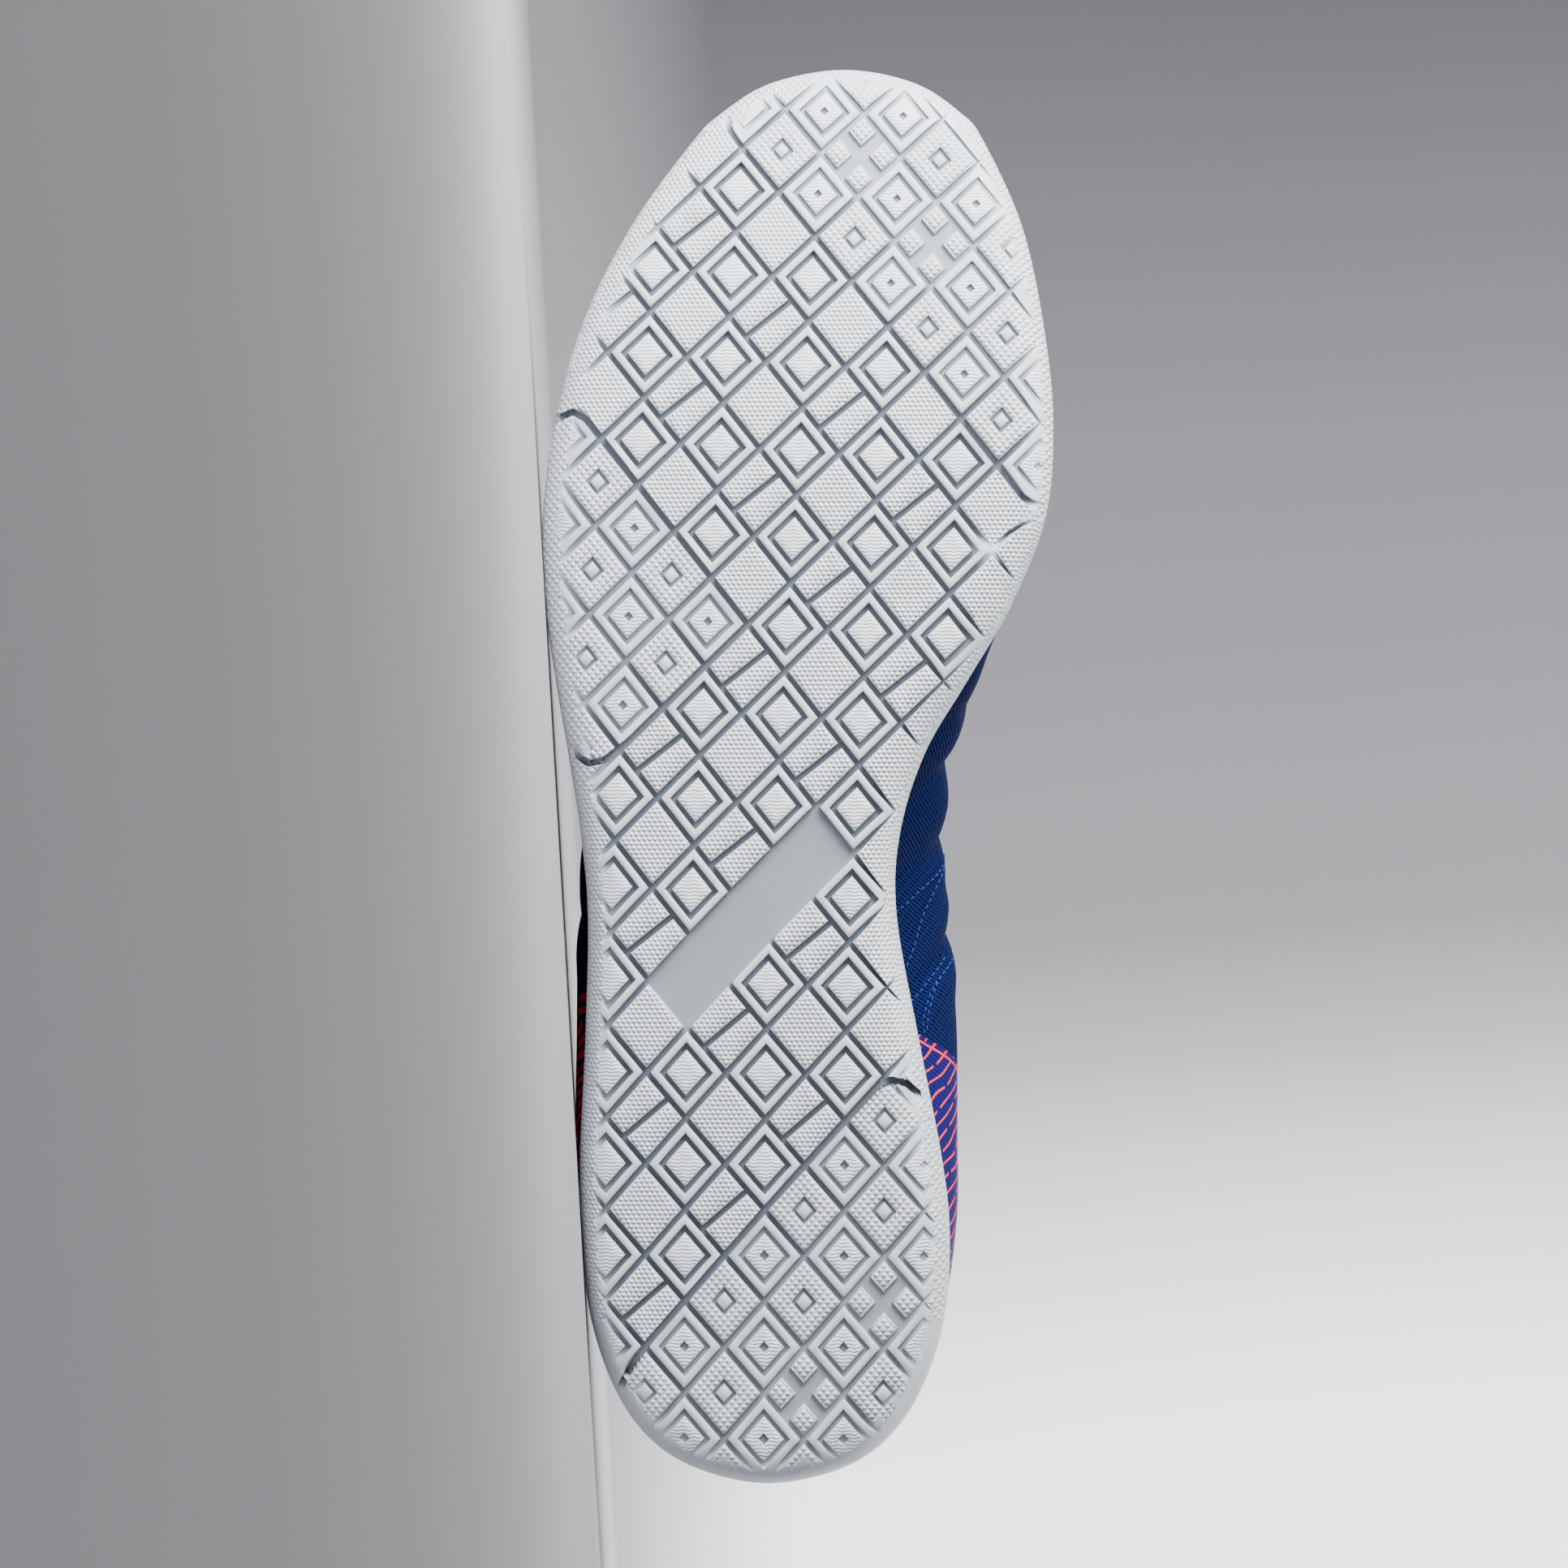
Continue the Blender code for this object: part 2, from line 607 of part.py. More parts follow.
def tongue_line(turn):
    """The tongue's outer face across the throat at this turn, from the lateral to the medial edge."""
    clearance = 2 * GAP
    edge = [under_wall(turn, medial, 0.985, clearance) for medial in (False, True)]
    deep = []
    for medial in (False, True):
        deep.append(under_wall(turn, medial, depth_below_top(turn, medial, 15 * MM), clearance))
    crown = (edge[0] + edge[1]) / 2
    crown.z += TONGUE_CROWN * smooth((0.92 - turn) / 0.12)
    return [deep[0], (deep[0] + edge[0]) / 2, edge[0], crown, edge[1], (deep[1] + edge[1]) / 2, deep[1]]


def make_tongue():
    """The padded tongue, tucked under the throat's edges and the vamp, standing above the collar."""
    loops = []
    for k in range(9):
        turn = 0.93 + (0.52 - 0.93) * k / 8
        loops.append([bent(p) for p in tongue_line(turn)])
    rise = (loops[-1][3] - loops[-2][3]).normalized()
    for share in (0.35, 0.7, 1.0):
        narrowing = 1 - 0.3 * share**0.8
        centre = loops[8][3] + rise * TONGUE_ABOVE_THROAT * share
        loops.append([centre + (p - loops[8][3]) * narrowing for p in loops[8]])
    bm = loft(loops, ring=False)
    bm.faces.ensure_lookup_table()
    if sum((f.normal for f in bm.faces), Vector()).z < 0:
        bmesh.ops.reverse_faces(bm, faces=bm.faces)
    tongue = object_from(bm, "tongue", ((0.02, 0.07, 0.3), 0.9))
    wall = tongue.modifiers.new("padding", "SOLIDIFY")
    wall.thickness, wall.offset = TONGUE_THICKNESS, -1
    shade(tongue)
    return tongue


def lace_turn(row):
    """The turn at which a row of eyelets stands, from 0 at the throat's bottom to LACE_ROWS - 1 at its top."""
    return LACE_FIRST_TURN + (LACE_LAST_TURN - LACE_FIRST_TURN) * row / (LACE_ROWS - 1)


def eyelet(row, medial, height=0.0):
    """A point that height above the eyestay at an eyelet."""
    turn = lace_turn(row)
    v = depth_below_top(turn, medial, EYELET_DEPTH)
    over = GAP + EYESTAY_THICKNESS + height
    return wall_point(turn, medial, v) + wall_normal(turn, medial, v) * over


def throat_edge(row, medial, height=0.0):
    """A point that height above the eyestay at the throat's edge."""
    turn = lace_turn(row)
    over = GAP + EYESTAY_THICKNESS + height
    return wall_point(turn, medial, 0.99) + wall_normal(turn, medial, 0.99) * over


def lace_strip(path):
    """A flat stretch of lace along a path of (point, normal) pairs, as a bmesh."""
    loops = []
    for k, (p, normal) in enumerate(path):
        ahead = path[min(k + 1, len(path) - 1)][0] - path[max(k - 1, 0)][0]
        side = ahead.cross(normal).normalized()
        normal = side.cross(ahead).normalized()
        wide, thick = side * LACE_WIDTH / 2, normal * LACE_THICKNESS / 2
        flank = wide * 0.8
        ring = [p - wide, p - flank + thick, p + flank + thick, p + wide, p + flank - thick, p - flank - thick]
        loops.append([bent(q) for q in ring])
    return loft(loops, close_ends=True)


def throat_normal(turn):
    """Which way the tongue faces between the throat's edges at this turn."""
    return (wall_normal(turn, False, 0.985) + wall_normal(turn, True, 0.985)).normalized()


def over_tongue(row, medial, inwards):
    """A point of a lace just above the tongue, that far inwards of the throat's edge."""
    turn = lace_turn(row)
    edge = under_wall(turn, medial, 0.985, 0)
    other = under_wall(turn, not medial, 0.985, 0)
    return edge + (other - edge).normalized() * inwards + throat_normal(turn) * LACE_CLEARANCE


def lace_end(row, medial):
    """A lace's way from the throat's edge over the eyestay to an eyelet, as (point, normal) pairs."""
    height = LACE_CLEARANCE + LACE_THICKNESS / 2
    turn = lace_turn(row)
    v = depth_below_top(turn, medial, EYELET_DEPTH)
    edge, hole = throat_edge(row, medial, height), eyelet(row, medial, height)
    half = (edge + hole) / 2
    tilt = wall_normal(turn, medial, 0.99)
    inwards = (throat_edge(row, not medial) - throat_edge(row, medial)).normalized()
    inside = edge + inwards * LACE_WIDTH / 2 + throat_normal(turn) * 0.15 * LACE_WIDTH
    on = wall_point(turn, medial, (0.99 + v) / 2)
    normal = wall_normal(turn, medial, (0.99 + v) / 2)
    half += normal * max(0.0, (on - half).dot(normal) + GAP + EYESTAY_THICKNESS + height)
    return [(inside, throat_normal(turn)), (edge, tilt), (half, normal), (hole, wall_normal(turn, medial, v))]


def middle_over_tongue(row):
    """A lace's point over the middle of the tongue, at a whole row or between two."""
    middle = (over_tongue(row, False, 0) + over_tongue(row, True, 0)) / 2
    return middle + throat_normal(lace_turn(row)) * (TONGUE_CROWN + LACE_THICKNESS / 2)


def lace_half(row, medial):
    """The half of a crossing that comes up beside one edge of the throat and ends at the next row's far eyelet."""
    start = over_tongue(row + 0.2, medial, 0.6 * LACE_WIDTH)
    middle = middle_over_tongue(row + 0.5)
    up = throat_normal(lace_turn(row + 0.5))
    if medial:
        middle += up * 0.8 * LACE_THICKNESS
    return lace_strip([(start, up), (middle, up), *lace_end(row + 1, not medial)])


def make_laces():
    """The lace's straight first bar, and its crossings, each the union of its two halves."""
    laces = []
    colour = ((0.75, 0.77, 0.8), 0.85)
    up = throat_normal(lace_turn(0))
    bar = [*lace_end(0, False)[::-1], (middle_over_tongue(0) + up * 2 * LACE_THICKNESS, up), *lace_end(0, True)]
    laces.append(object_from(lace_strip(bar), "lace_bar", colour))
    for row in range(LACE_ROWS - 1):
        crossing = object_from(lace_half(row, False), f"lace_cross_{row + 1}", colour)
        other = object_from(lace_half(row, True), f"lace_under_{row + 1}")
        other.hide_render, other.display_type = True, "WIRE"
        join = crossing.modifiers.new("crossing", "BOOLEAN")
        join.operation, join.solver, join.object = "UNION", "EXACT", other
        apply_modifiers(crossing)
        laces.append(crossing)
    return laces


def centre_of_mass(objects, weights):
    """The centre of mass of the pieces, each with its own density, and all their corners."""
    graph = bpy.context.evaluated_depsgraph_get()
    moment, mass, corners = Vector(), 0.0, []
    for obj in objects:
        bm = bmesh.new()
        bm.from_object(obj, graph)
        bmesh.ops.triangulate(bm, faces=bm.faces)
        for face in bm.faces:
            a, b, c = (v.co for v in face.verts)
            volume = a.dot(b.cross(c)) / 6 * weights.get(obj.name, 1.0)
            moment += (a + b + c) / 4 * volume
            mass += volume
        corners += [v.co.copy() for v in bm.verts]
        bm.free()
    return moment / mass, corners


def lying_down(objects):
    """The shoe's place when it lies on its lateral side: on the hull's lateral face under the centre of mass."""
    weights = {"outsole": 1.05, "upper": 0.45, "insole": 0.2, "tongue": 0.2, "eyestay": 1.0}
    centre, corners = centre_of_mass(objects, weights)
    bm = bmesh.new()
    for corner in corners:
        bm.verts.new(corner)
    bmesh.ops.convex_hull(bm, input=bm.verts)
    bmesh.ops.triangulate(bm, faces=bm.faces)
    bm.normal_update()
    best, floor = None, None
    for face in bm.faces:
        normal = face.normal
        if normal.dot(face.calc_center_median() - centre) < 0:
            normal = -normal
        if normal.y > -0.7:
            continue
        a, b, c = (v.co for v in face.verts)
        drop = centre + normal * normal.dot(a - centre)
        sides = [(q - p).cross(drop - p).dot(normal) for p, q in ((a, b), (b, c), (c, a))]
        worst = min(sides) if max(sides) > -min(sides) else -max(sides)
        if best is None or worst > best:
            best, floor = worst, normal.copy()
    bm.free()
    down = floor
    along = Vector((-1, 0, 0))
    toe = (along - down * along.dot(down)).normalized()
    turn = Matrix((-toe, Vector(-down).cross(-toe), -down))
    placed = [turn @ c for c in corners]
    low = Vector(min(p[k] for p in placed) for k in range(3))
    high = Vector(max(p[k] for p in placed) for k in range(3))
    shift = Vector((-(low.x + high.x) / 2, -(low.y + high.y) / 2, -low.z))
    return Matrix.Translation(shift) @ turn.to_4x4()


def clear_scene():
    for obj in list(bpy.data.objects):
        bpy.data.objects.remove(obj)


clear_scene()
PART = bpy.data.collections.new("indoor_soccer_shoe")
CUTTERS = bpy.data.collections.new("cutters")
bpy.context.scene.collection.children.link(PART)
bpy.context.scene.collection.children.link(CUTTERS)


def main():
    pieces = [make_outsole(), make_insole(), make_upper(), make_eyestay(), make_tongue(), *make_laces()]
    bpy.context.view_layer.update()
    axes = bpy.data.objects.new("shoe_axes", None)
    PART.objects.link(axes)
    axes.matrix_world = lying_down(pieces)
    for piece in pieces:
        piece.parent = axes
    bpy.context.view_layer.update()


if __name__ == "__main__":
    main()
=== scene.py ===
"""An indoor soccer shoe for the right foot, lying on its lateral side with its tread to the camera.

The shoe's own axes are x from the back of the heel to the tip of the toe, y towards the medial side and z
up from the tread. Every piece is first modelled on a level sole, then gets the toe spring and the heel lift,
and is laid down last.
"""

import collections
import functools
import json
import math

import bmesh
import bpy
import numpy as np
from bpy.props import FloatProperty, FloatVectorProperty, IntProperty, PointerProperty
from mathutils import Matrix, Vector
from mathutils.kdtree import KDTree


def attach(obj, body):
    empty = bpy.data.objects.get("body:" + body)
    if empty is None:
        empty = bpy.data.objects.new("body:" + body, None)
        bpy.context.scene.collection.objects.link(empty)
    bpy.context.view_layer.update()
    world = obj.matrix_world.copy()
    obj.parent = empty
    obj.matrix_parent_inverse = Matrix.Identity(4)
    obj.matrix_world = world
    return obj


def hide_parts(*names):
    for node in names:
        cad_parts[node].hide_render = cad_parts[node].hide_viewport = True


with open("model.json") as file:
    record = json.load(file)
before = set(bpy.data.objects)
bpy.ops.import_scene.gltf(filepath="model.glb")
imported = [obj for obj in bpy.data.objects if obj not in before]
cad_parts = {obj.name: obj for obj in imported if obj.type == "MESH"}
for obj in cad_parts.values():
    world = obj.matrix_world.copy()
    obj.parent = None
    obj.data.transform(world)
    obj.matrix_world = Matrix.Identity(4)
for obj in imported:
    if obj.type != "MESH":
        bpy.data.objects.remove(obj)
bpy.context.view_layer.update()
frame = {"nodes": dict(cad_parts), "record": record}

bl_info = {
    "name": "Indoor soccer shoe",
    "version": (1, 0, 0),
    "blender": (4, 5, 0),
    "location": "View3D > Sidebar > Shoe",
    "description": "Builds a court shoe with a cup sole, lying on its side",
    "category": "Add Mesh",
}

MM = 0.001

# Sizes of the last, as the solids have them
LENGTH = 286 * MM
BALL_WIDTH = 102 * MM
INSTEP_HEIGHT = 80 * MM
HEEL_HEIGHT = 77 * MM
TOE_SPRING = 13 * MM
HEEL_LIFT = 5 * MM
SOLE_THICKNESS = 6 * MM
SIDEWALL = 3.2 * MM
ROLL_WIDTH = 9 * MM
ROLL_HEIGHT = 7 * MM
CHANNEL_BELOW_LIP = 4.5 * MM
UPPER_WALL = 2.2 * MM
COLLAR_PAD = 6.5 * MM
COLLAR_ROLL = 14 * MM
COLLAR_ENDS = 0.47
COLLAR_PUFF = 0.9 * MM
GAP = 0.3 * MM

# Shares of the way up the upper's wall: at the sole's lip, at the widest height, and where the tongue passes
AT_LIP = 0.2
AT_WIDEST = 0.45
AT_THROAT = 0.985

# How many faces the upper has around, up its outside, over its edge and down its inside
UPPER_AROUND, UPPER_OUTSIDE, UPPER_EDGE, UPPER_INSIDE = 440, 44, 7, 16

# The lattice of the tread
PITCH_ACROSS = 15.87 * MM
PITCH_ALONG = 18.35 * MM
PITCH_CLOSING = 0.042 * MM
FIRST_ROW = 10.5 * MM
RING_ORIGIN = (-1, 14)
CELLS_M = (-3, 19)
CELLS_N = (-6, 17)
BARE_PANEL = {(9, 6), (9, 7), (9, 8), (9, 9)}
CROSS_CELLS = {(1, -2), (3, -2), (15, 10), (15, 12)}

# Wide grooves round the shallow zones, as places on the slanting rows with half widths in millimetres. Each
# curls over near the sole's edge.
ZONE_GROOVES = {
    "toe": ((-1.15, -0.74, 0.7), (-1.08, -0.63, 0.75), (-0.88, -0.53, 0.7), (-0.5, -0.5, 0.65),
            (3.5, -0.5, 0.65), (6.9, -0.47, 0.7), (7.2, -0.48, 0.8), (7.4, -0.54, 0.9), (7.56, -0.68, 0.9)),
    "lateral": ((0.86, 5.06, 0.7), (0.74, 4.8, 0.8), (0.83, 4.6, 0.85), (1.08, 4.5, 0.85), (1.6, 4.5, 0.85),
                (3.5, 4.5, 0.75), (5.5, 4.5, 0.75), (5.5, 7.3, 0.8), (5.44, 7.8, 0.85), (5.28, 8.06, 0.85),
                (5.08, 8.13, 0.8), (4.81, 8.08, 0.7)),
    "heel": ((13.3, 7.4, 0.7), (13.1, 7.3, 0.8), (12.86, 7.32, 0.85), (12.63, 7.46, 0.85),
             (12.52, 7.76, 0.85), (12.5, 10.5, 0.75), (12.5, 13.4, 0.8), (12.56, 13.96, 0.85),
             (12.7, 14.4, 0.8)),
    "ball": ((7.46, 0.5, 0.45), (7.46, 0.1, 0.45), (7.52, -0.2, 0.45), (7.66, -0.4, 0.45)),
}

# Scuffs near the toe: place along and across the sole and radius, in millimetres, and strength
SCUFFS = ((254.6, -14.4, 2.8, 0.4), (261.4, -14.2, 0.9, 0.9), (250.2, -7.4, 0.9, 0.9))

# The centre line's bend, and where toe spring and heel lift begin and end
BEND_PLACE = 0.367
BEND_SLOPE = 0.069
BEND_ROUNDING = 0.105
SPRING_FROM = 0.68
LIFT_FROM = 0.61
LIFT_FULL = 0.28

# Outline of the sole: share of the length, then the lateral and the medial half width as shares of the ball's
HEEL_TIP = (0.000, 0.005)
TOE_TIP = (1.000, 0.152)
OUTLINE = (
    (0.009, 0.125, 0.138),
    (0.029, 0.222, 0.233),
    (0.063, 0.294, 0.303),
    (0.114, 0.345, 0.352),
    (0.172, 0.364, 0.364),
    (0.229, 0.368, 0.347),
    (0.315, 0.357, 0.300),
    (0.400, 0.351, 0.258),
    (0.458, 0.364, 0.265),
    (0.515, 0.388, 0.315),
    (0.566, 0.412, 0.399),
    (0.618, 0.431, 0.484),
    (0.681, 0.437, 0.553),
    (0.749, 0.412, 0.567),
    (0.818, 0.359, 0.547),
    (0.887, 0.265, 0.505),
    (0.947, 0.148, 0.431),
    (0.967, 0.095, 0.388),
    (0.990, -0.005, 0.293),
)

# Walls of the upper, a row for each section from the heel (turn 0) round either side to the toe (turn 1)
WALL_COLUMNS = (
    "turn", "top_along", "top_half", "of_heel", "of_instep",
    "wide_lateral", "wide_medial", "wide_up", "rise", "slope", "lip",
)
WALLS = (
    (0.00, 0.030, 0.000, 1.000, 0.000, -0.010, -0.010, 0.34, 0.30, 86, 0.18),
    (0.08, 0.038, 0.135, 0.970, 0.000, -0.008, -0.008, 0.34, 0.30, 84, 0.18),
    (0.16, 0.085, 0.245, 0.860, 0.000, 0.000, 0.000, 0.34, 0.28, 80, 0.17),
    (0.25, 0.160, 0.285, 0.765, 0.000, 0.028, 0.030, 0.35, 0.25, 76, 0.16),
    (0.33, 0.240, 0.290, 0.745, 0.000, 0.041, 0.078, 0.37, 0.22, 72, 0.16),
    (0.40, 0.310, 0.262, 0.800, 0.000, 0.042, 0.098, 0.38, 0.22, 66, 0.16),
    (0.46, 0.362, 0.205, 0.000, 0.930, 0.014, 0.081, 0.37, 0.24, 58, 0.16),
    (0.51, 0.400, 0.155, 0.000, 1.000, -0.010, 0.045, 0.34, 0.25, 50, 0.16),
    (0.60, 0.465, 0.130, 0.000, 0.935, -0.028, -0.005, 0.27, 0.24, 42, 0.16),
    (0.68, 0.528, 0.115, 0.000, 0.845, -0.030, -0.028, 0.24, 0.22, 36, 0.16),
    (0.76, 0.590, 0.103, 0.000, 0.752, -0.030, -0.030, 0.24, 0.20, 28, 0.17),
    (0.85, 0.640, 0.082, 0.000, 0.690, -0.030, -0.030, 0.26, 0.18, 20, 0.19),
    (0.93, 0.658, 0.045, 0.000, 0.670, -0.026, -0.026, 0.28, 0.17, 15, 0.21),
    (1.00, 0.664, 0.000, 0.000, 0.664, -0.022, -0.022, 0.29, 0.16, 12, 0.22),
)

# Soft creases of the fabric where the arch is drawn in: place at the widest height as a share of the length,
# how far it slants forward going up, half width and depth
CREASE_COLUMNS = ("medial", "along", "slant", "width", "depth")
CREASES = (
    (True, 0.551, 0.15, 0.012, 0.5),
    (True, 0.514, 0.17, 0.014, 1.0),
    (True, 0.457, 0.20, 0.015, 1.1),
    (True, 0.376, 0.20, 0.016, 1.2),
    (False, 0.47, 0.16, 0.016, 0.6),
    (False, 0.40, 0.16, 0.016, 0.5),
)

# Rows of topstitching on the medial arch, from the widest height down to the lip: share of the length, and v
ARCH_STITCHES = (
    ((0.450, 0.53), (0.437, 0.44), (0.404, 0.36), (0.368, 0.30), (0.335, 0.215)),
    ((0.437, 0.43), (0.427, 0.39), (0.415, 0.34), (0.405, 0.30), (0.398, 0.25)),
    ((0.360, 0.44), (0.350, 0.38), (0.338, 0.345), (0.322, 0.32), (0.308, 0.31)),
    ((0.358, 0.425), (0.347, 0.365), (0.335, 0.33), (0.320, 0.305), (0.308, 0.31)),
    ((0.362, 0.41), (0.352, 0.36), (0.343, 0.32), (0.334, 0.27), (0.326, 0.22)),
    ((0.466, 0.29), (0.459, 0.25), (0.452, 0.215)),
)

# Printed film on the heel quarters, medial and lateral: how far forward it reaches at the lip and how much
# less higher up, then how far up it reaches at the heel and how much less further forward
FILM = {True: (124 * MM, 0.62, 46 * MM, 0.12), False: (134 * MM, 0.35, 50 * MM, 0.10)}

# Half width of the film's printed lines, medial and lateral, as a share of their spacing
LINE_WIDTH = {True: 0.09, False: 0.28}

# Stitches: distance from one to the next, length and radius
SOLE_STITCH = (4.2 * MM, 3.3 * MM, 0.42 * MM)
SEAM_STITCH = (2.6 * MM, 2.0 * MM, 0.2 * MM)
ARCH_STITCH = (1.6 * MM, 1.1 * MM, 0.16 * MM)

EYESTAY_FROM = 0.47
EYESTAY_DEPTH = 17 * MM
EYESTAY_OVER = GAP + 1.1 * MM
EYELET_DEPTH = 8 * MM
LACE_ROWS = 6
LACE_FIRST_TURN = 0.83
LACE_LAST_TURN = 0.55
LACE_SIDES = 12
LACE_HALF_THICKNESS = 0.62 * MM

TONGUE_CROWN = 1.5 * MM
TONGUE_THICKNESS = 4.5 * MM
TONGUE_ABOVE_THROAT = 22 * MM
TONGUE_TUCK = 15 * MM
TONGUE_FROM, TONGUE_TO = 0.93, 0.52

# How wide a lug's wall and a zone groove's look from below, and how far inside the outline the tread ends
LUG_WALL = 0.13 * MM
ZONE_WALL = 0.3 * MM
RIM_START = 1.3 * MM

# The relief fades out over the first, and is shallower over the second
RELIEF_FADE = 2.2 * MM
RELIEF_SHALLOW = 5 * MM

# How far a zone groove's curled end runs, how long its shallow part is, and how near it the rows' cuts stop
CURL_LENGTH = 13 * MM
CURL_SHALLOW = 4.5 * MM
CURL_CLEAR = 4.5 * MM

# How far inside the outline the relief ends, in millimetres: turn, lateral side, medial side
RELIEF = (
    (0.0, 3.8, 3.8), (0.12, 3.4, 3.0), (0.3, 3.2, 1.6), (0.45, 3.2, 1.2), (0.82, 3.4, 1.3), (0.92, 2.4, 1.4),
    (1.0, 1.5, 1.5),
)

# Which finish a face of the tread has, as the rubber's material reads it
SMOOTH, DOTTED, WAVED, GRIDDED = 0, 1, 2, 3
DOT_SPACING = 1.05 * MM
WAVE_SPACING = 0.72 * MM
WAVE_LENGTH = 2.2 * MM
SQUARES_PER_CELL = 10

# Paper sweep: radius of its bend, its back, front, height and width, how much of its wall the picture takes
# in, and how high its floor's grey ends
SWEEP_RADIUS, SWEEP_BACK, SWEEP_FRONT, SWEEP_HEIGHT, SWEEP_WIDTH = 0.5, -1.3, 2.6, 2.6, 7.0
SWEEP_SEEN = 0.95
SWEEP_RISE = 0.1
# The wall's greys, painted light fall-off from near white at the heel's end to dark at the toe's: a share of
# the way across, and the grey
PAPER_LIGHT_FALLOFF = (
    (0.07, "#fcfcfd"), (0.22, "#c8c7cb"), (0.3, "#9e9da2"), (0.38, "#828186"), (0.53, "#7f7e83"),
    (0.69, "#7a797e"), (0.85, "#706f74"), (1.0, "#646368"),
)

# Soft lights: place, the point that each faces, width, and power as a share of the key's setting
LIGHTS = {
    "key_softbox": ((0.52, 0.36, 0.26), (0.03, 0.04, 0.05), 0.5, 0.63),
    "front_fill": ((0.5, 1.9, 0.12), (0.0, 0.0, 0.03), 1.2, 0.16),
    "top_fill": ((0.2, -0.2, 1.6), (0.0, -0.2, 0.05), 1.2, 0.25),
    "backdrop_wash": ((-0.9, -0.3, 0.9), (-0.6, -1.8, 0.3), 0.8, 2.0),
}
AIR_STRENGTH = 0.13

# The point of the tread that the camera faces, along and across the sole, and its sensor's width in mm
CAMERA_AIM = (141 * MM, 4.2 * MM)
SENSOR = 36.0

# Settings that make a Mix node blend two colours, which its sixth and seventh inputs take
COLOURS = {"data_type": "RGBA", "out": 2}


def smooth(x):
    """0 below 0, 1 above 1, and a soft ramp between."""
    x = min(1.0, max(0.0, x))
    return x * x * (3 - 2 * x)


def bump(x):
    """A soft hump, 1 at 0 and 0 beyond 1 either way."""
    return smooth(1 - abs(x))


def spine(x):
    """How far the last's centre line lies to the medial side at x."""
    past = x - BEND_PLACE * LENGTH
    return BEND_SLOPE * 0.5 * (past + math.hypot(past, BEND_ROUNDING * LENGTH))


def bent(p):
    """A point of the level shoe after toe spring and heel lift. The tread's face keeps level at the heel."""
    share = p.x / LENGTH
    spring = TOE_SPRING * max(0.0, (share - SPRING_FROM) / (1 - SPRING_FROM)) ** 2
    lift = HEEL_LIFT * smooth((LIFT_FROM - share) / (LIFT_FROM - LIFT_FULL))
    groove = bpy.context.scene.tread_sizes.groove_depth
    above = (p.z - groove) / (SOLE_THICKNESS - groove)
    return Vector((p.x, p.y, p.z + spring + lift * min(1.0, max(0.0, above))))


def closed_spline(points, steps):
    """A smooth closed line through the points, with that many steps a span."""
    p = np.array(points, float)
    before, after, further = np.roll(p, 1, 0), np.roll(p, -1, 0), np.roll(p, -2, 0)
    line = []
    for k in range(len(p)):
        for s in np.arange(steps) / steps:
            line.append(
                0.5 * (2 * p[k] + (after[k] - before[k]) * s
                       + (2 * before[k] - 5 * p[k] + 4 * after[k] - further[k]) * s**2
                       + (3 * p[k] - before[k] - 3 * after[k] + further[k]) * s**3)
            )
    return np.array(line)


def make_outline():
    """The sole's outline as two dense lines from heel tip to toe tip, with the share of the way along."""
    lateral = [(a * LENGTH, -w * BALL_WIDTH) for a, w, _ in OUTLINE]
    medial = [(a * LENGTH, w * BALL_WIDTH) for a, _, w in OUTLINE]
    heel = (HEEL_TIP[0] * LENGTH, HEEL_TIP[1] * BALL_WIDTH)
    toe = (TOE_TIP[0] * LENGTH, TOE_TIP[1] * BALL_WIDTH)
    steps = 12
    loop = closed_spline([heel, *lateral, toe, *medial[::-1]], steps)
    half = (len(lateral) + 1) * steps
    sides = (loop[: half + 1], np.vstack([loop[half:], loop[:1]])[::-1])
    made = []
    for line in sides:
        run = np.r_[0, np.cumsum(np.hypot(*np.diff(line, axis=0).T))]
        made.append((line, run / run[-1]))
    return made


OUTLINE_SIDES = make_outline()


@functools.cache
def outline_at(turn, medial):
    """(point, outward direction) of the sole's outline at a share of the way from heel tip to toe tip."""
    line, run = OUTLINE_SIDES[medial]
    step = 0.004

    def place(t):
        if t < 0 or t > 1:
            other, way = OUTLINE_SIDES[not medial]
            t = -t if t < 0 else 2 - t
            return np.array([np.interp(t, way, other[:, 0]), np.interp(t, way, other[:, 1])])
        return np.array([np.interp(t, run, line[:, 0]), np.interp(t, run, line[:, 1])])

    along = place(turn + step) - place(turn - step)
    along /= np.hypot(*along)
    out = np.array([along[1], -along[0]]) * (1 if not medial else -1)
    return place(turn), out


Rim = collections.namedtuple("Rim", "x y out_x out_y turn medial")


def make_rim():
    """The outline as one dense ring of Rim rows, and a tree of its points."""
    count = 1200
    ring = []
    for medial in (False, True):
        turns = np.arange(count) / count if not medial else 1 - np.arange(count) / count
        for turn in turns:
            point, out = outline_at(turn, medial)
            ring.append((*point, *out, turn, medial))
    tree = KDTree(len(ring))
    for k, row in enumerate(ring):
        tree.insert((row[0], row[1], 0), k)
    tree.balance()
    return np.array(ring), tree


RIM, RIM_TREE = make_rim()


def nearest_rim(x, y):
    """(the outline's nearest point as a Rim, how far inside it this lies)."""
    row = Rim(*RIM[RIM_TREE.find((x, y, 0))[1]])
    dx, dy = x - row.x, y - row.y
    slide = dy * row.out_x - dx * row.out_y
    depth = -(dx * row.out_x + dy * row.out_y)
    on_rim = row._replace(x=row.x - slide * row.out_y, y=row.y + slide * row.out_x, medial=row.medial > 0)
    return on_rim, depth


def turn_at(x, medial):
    """The turn at which the outline passes x, on a side's long run between heel and toe."""
    line, run = OUTLINE_SIDES[medial]
    return float(np.interp(x, line[:, 0], run))


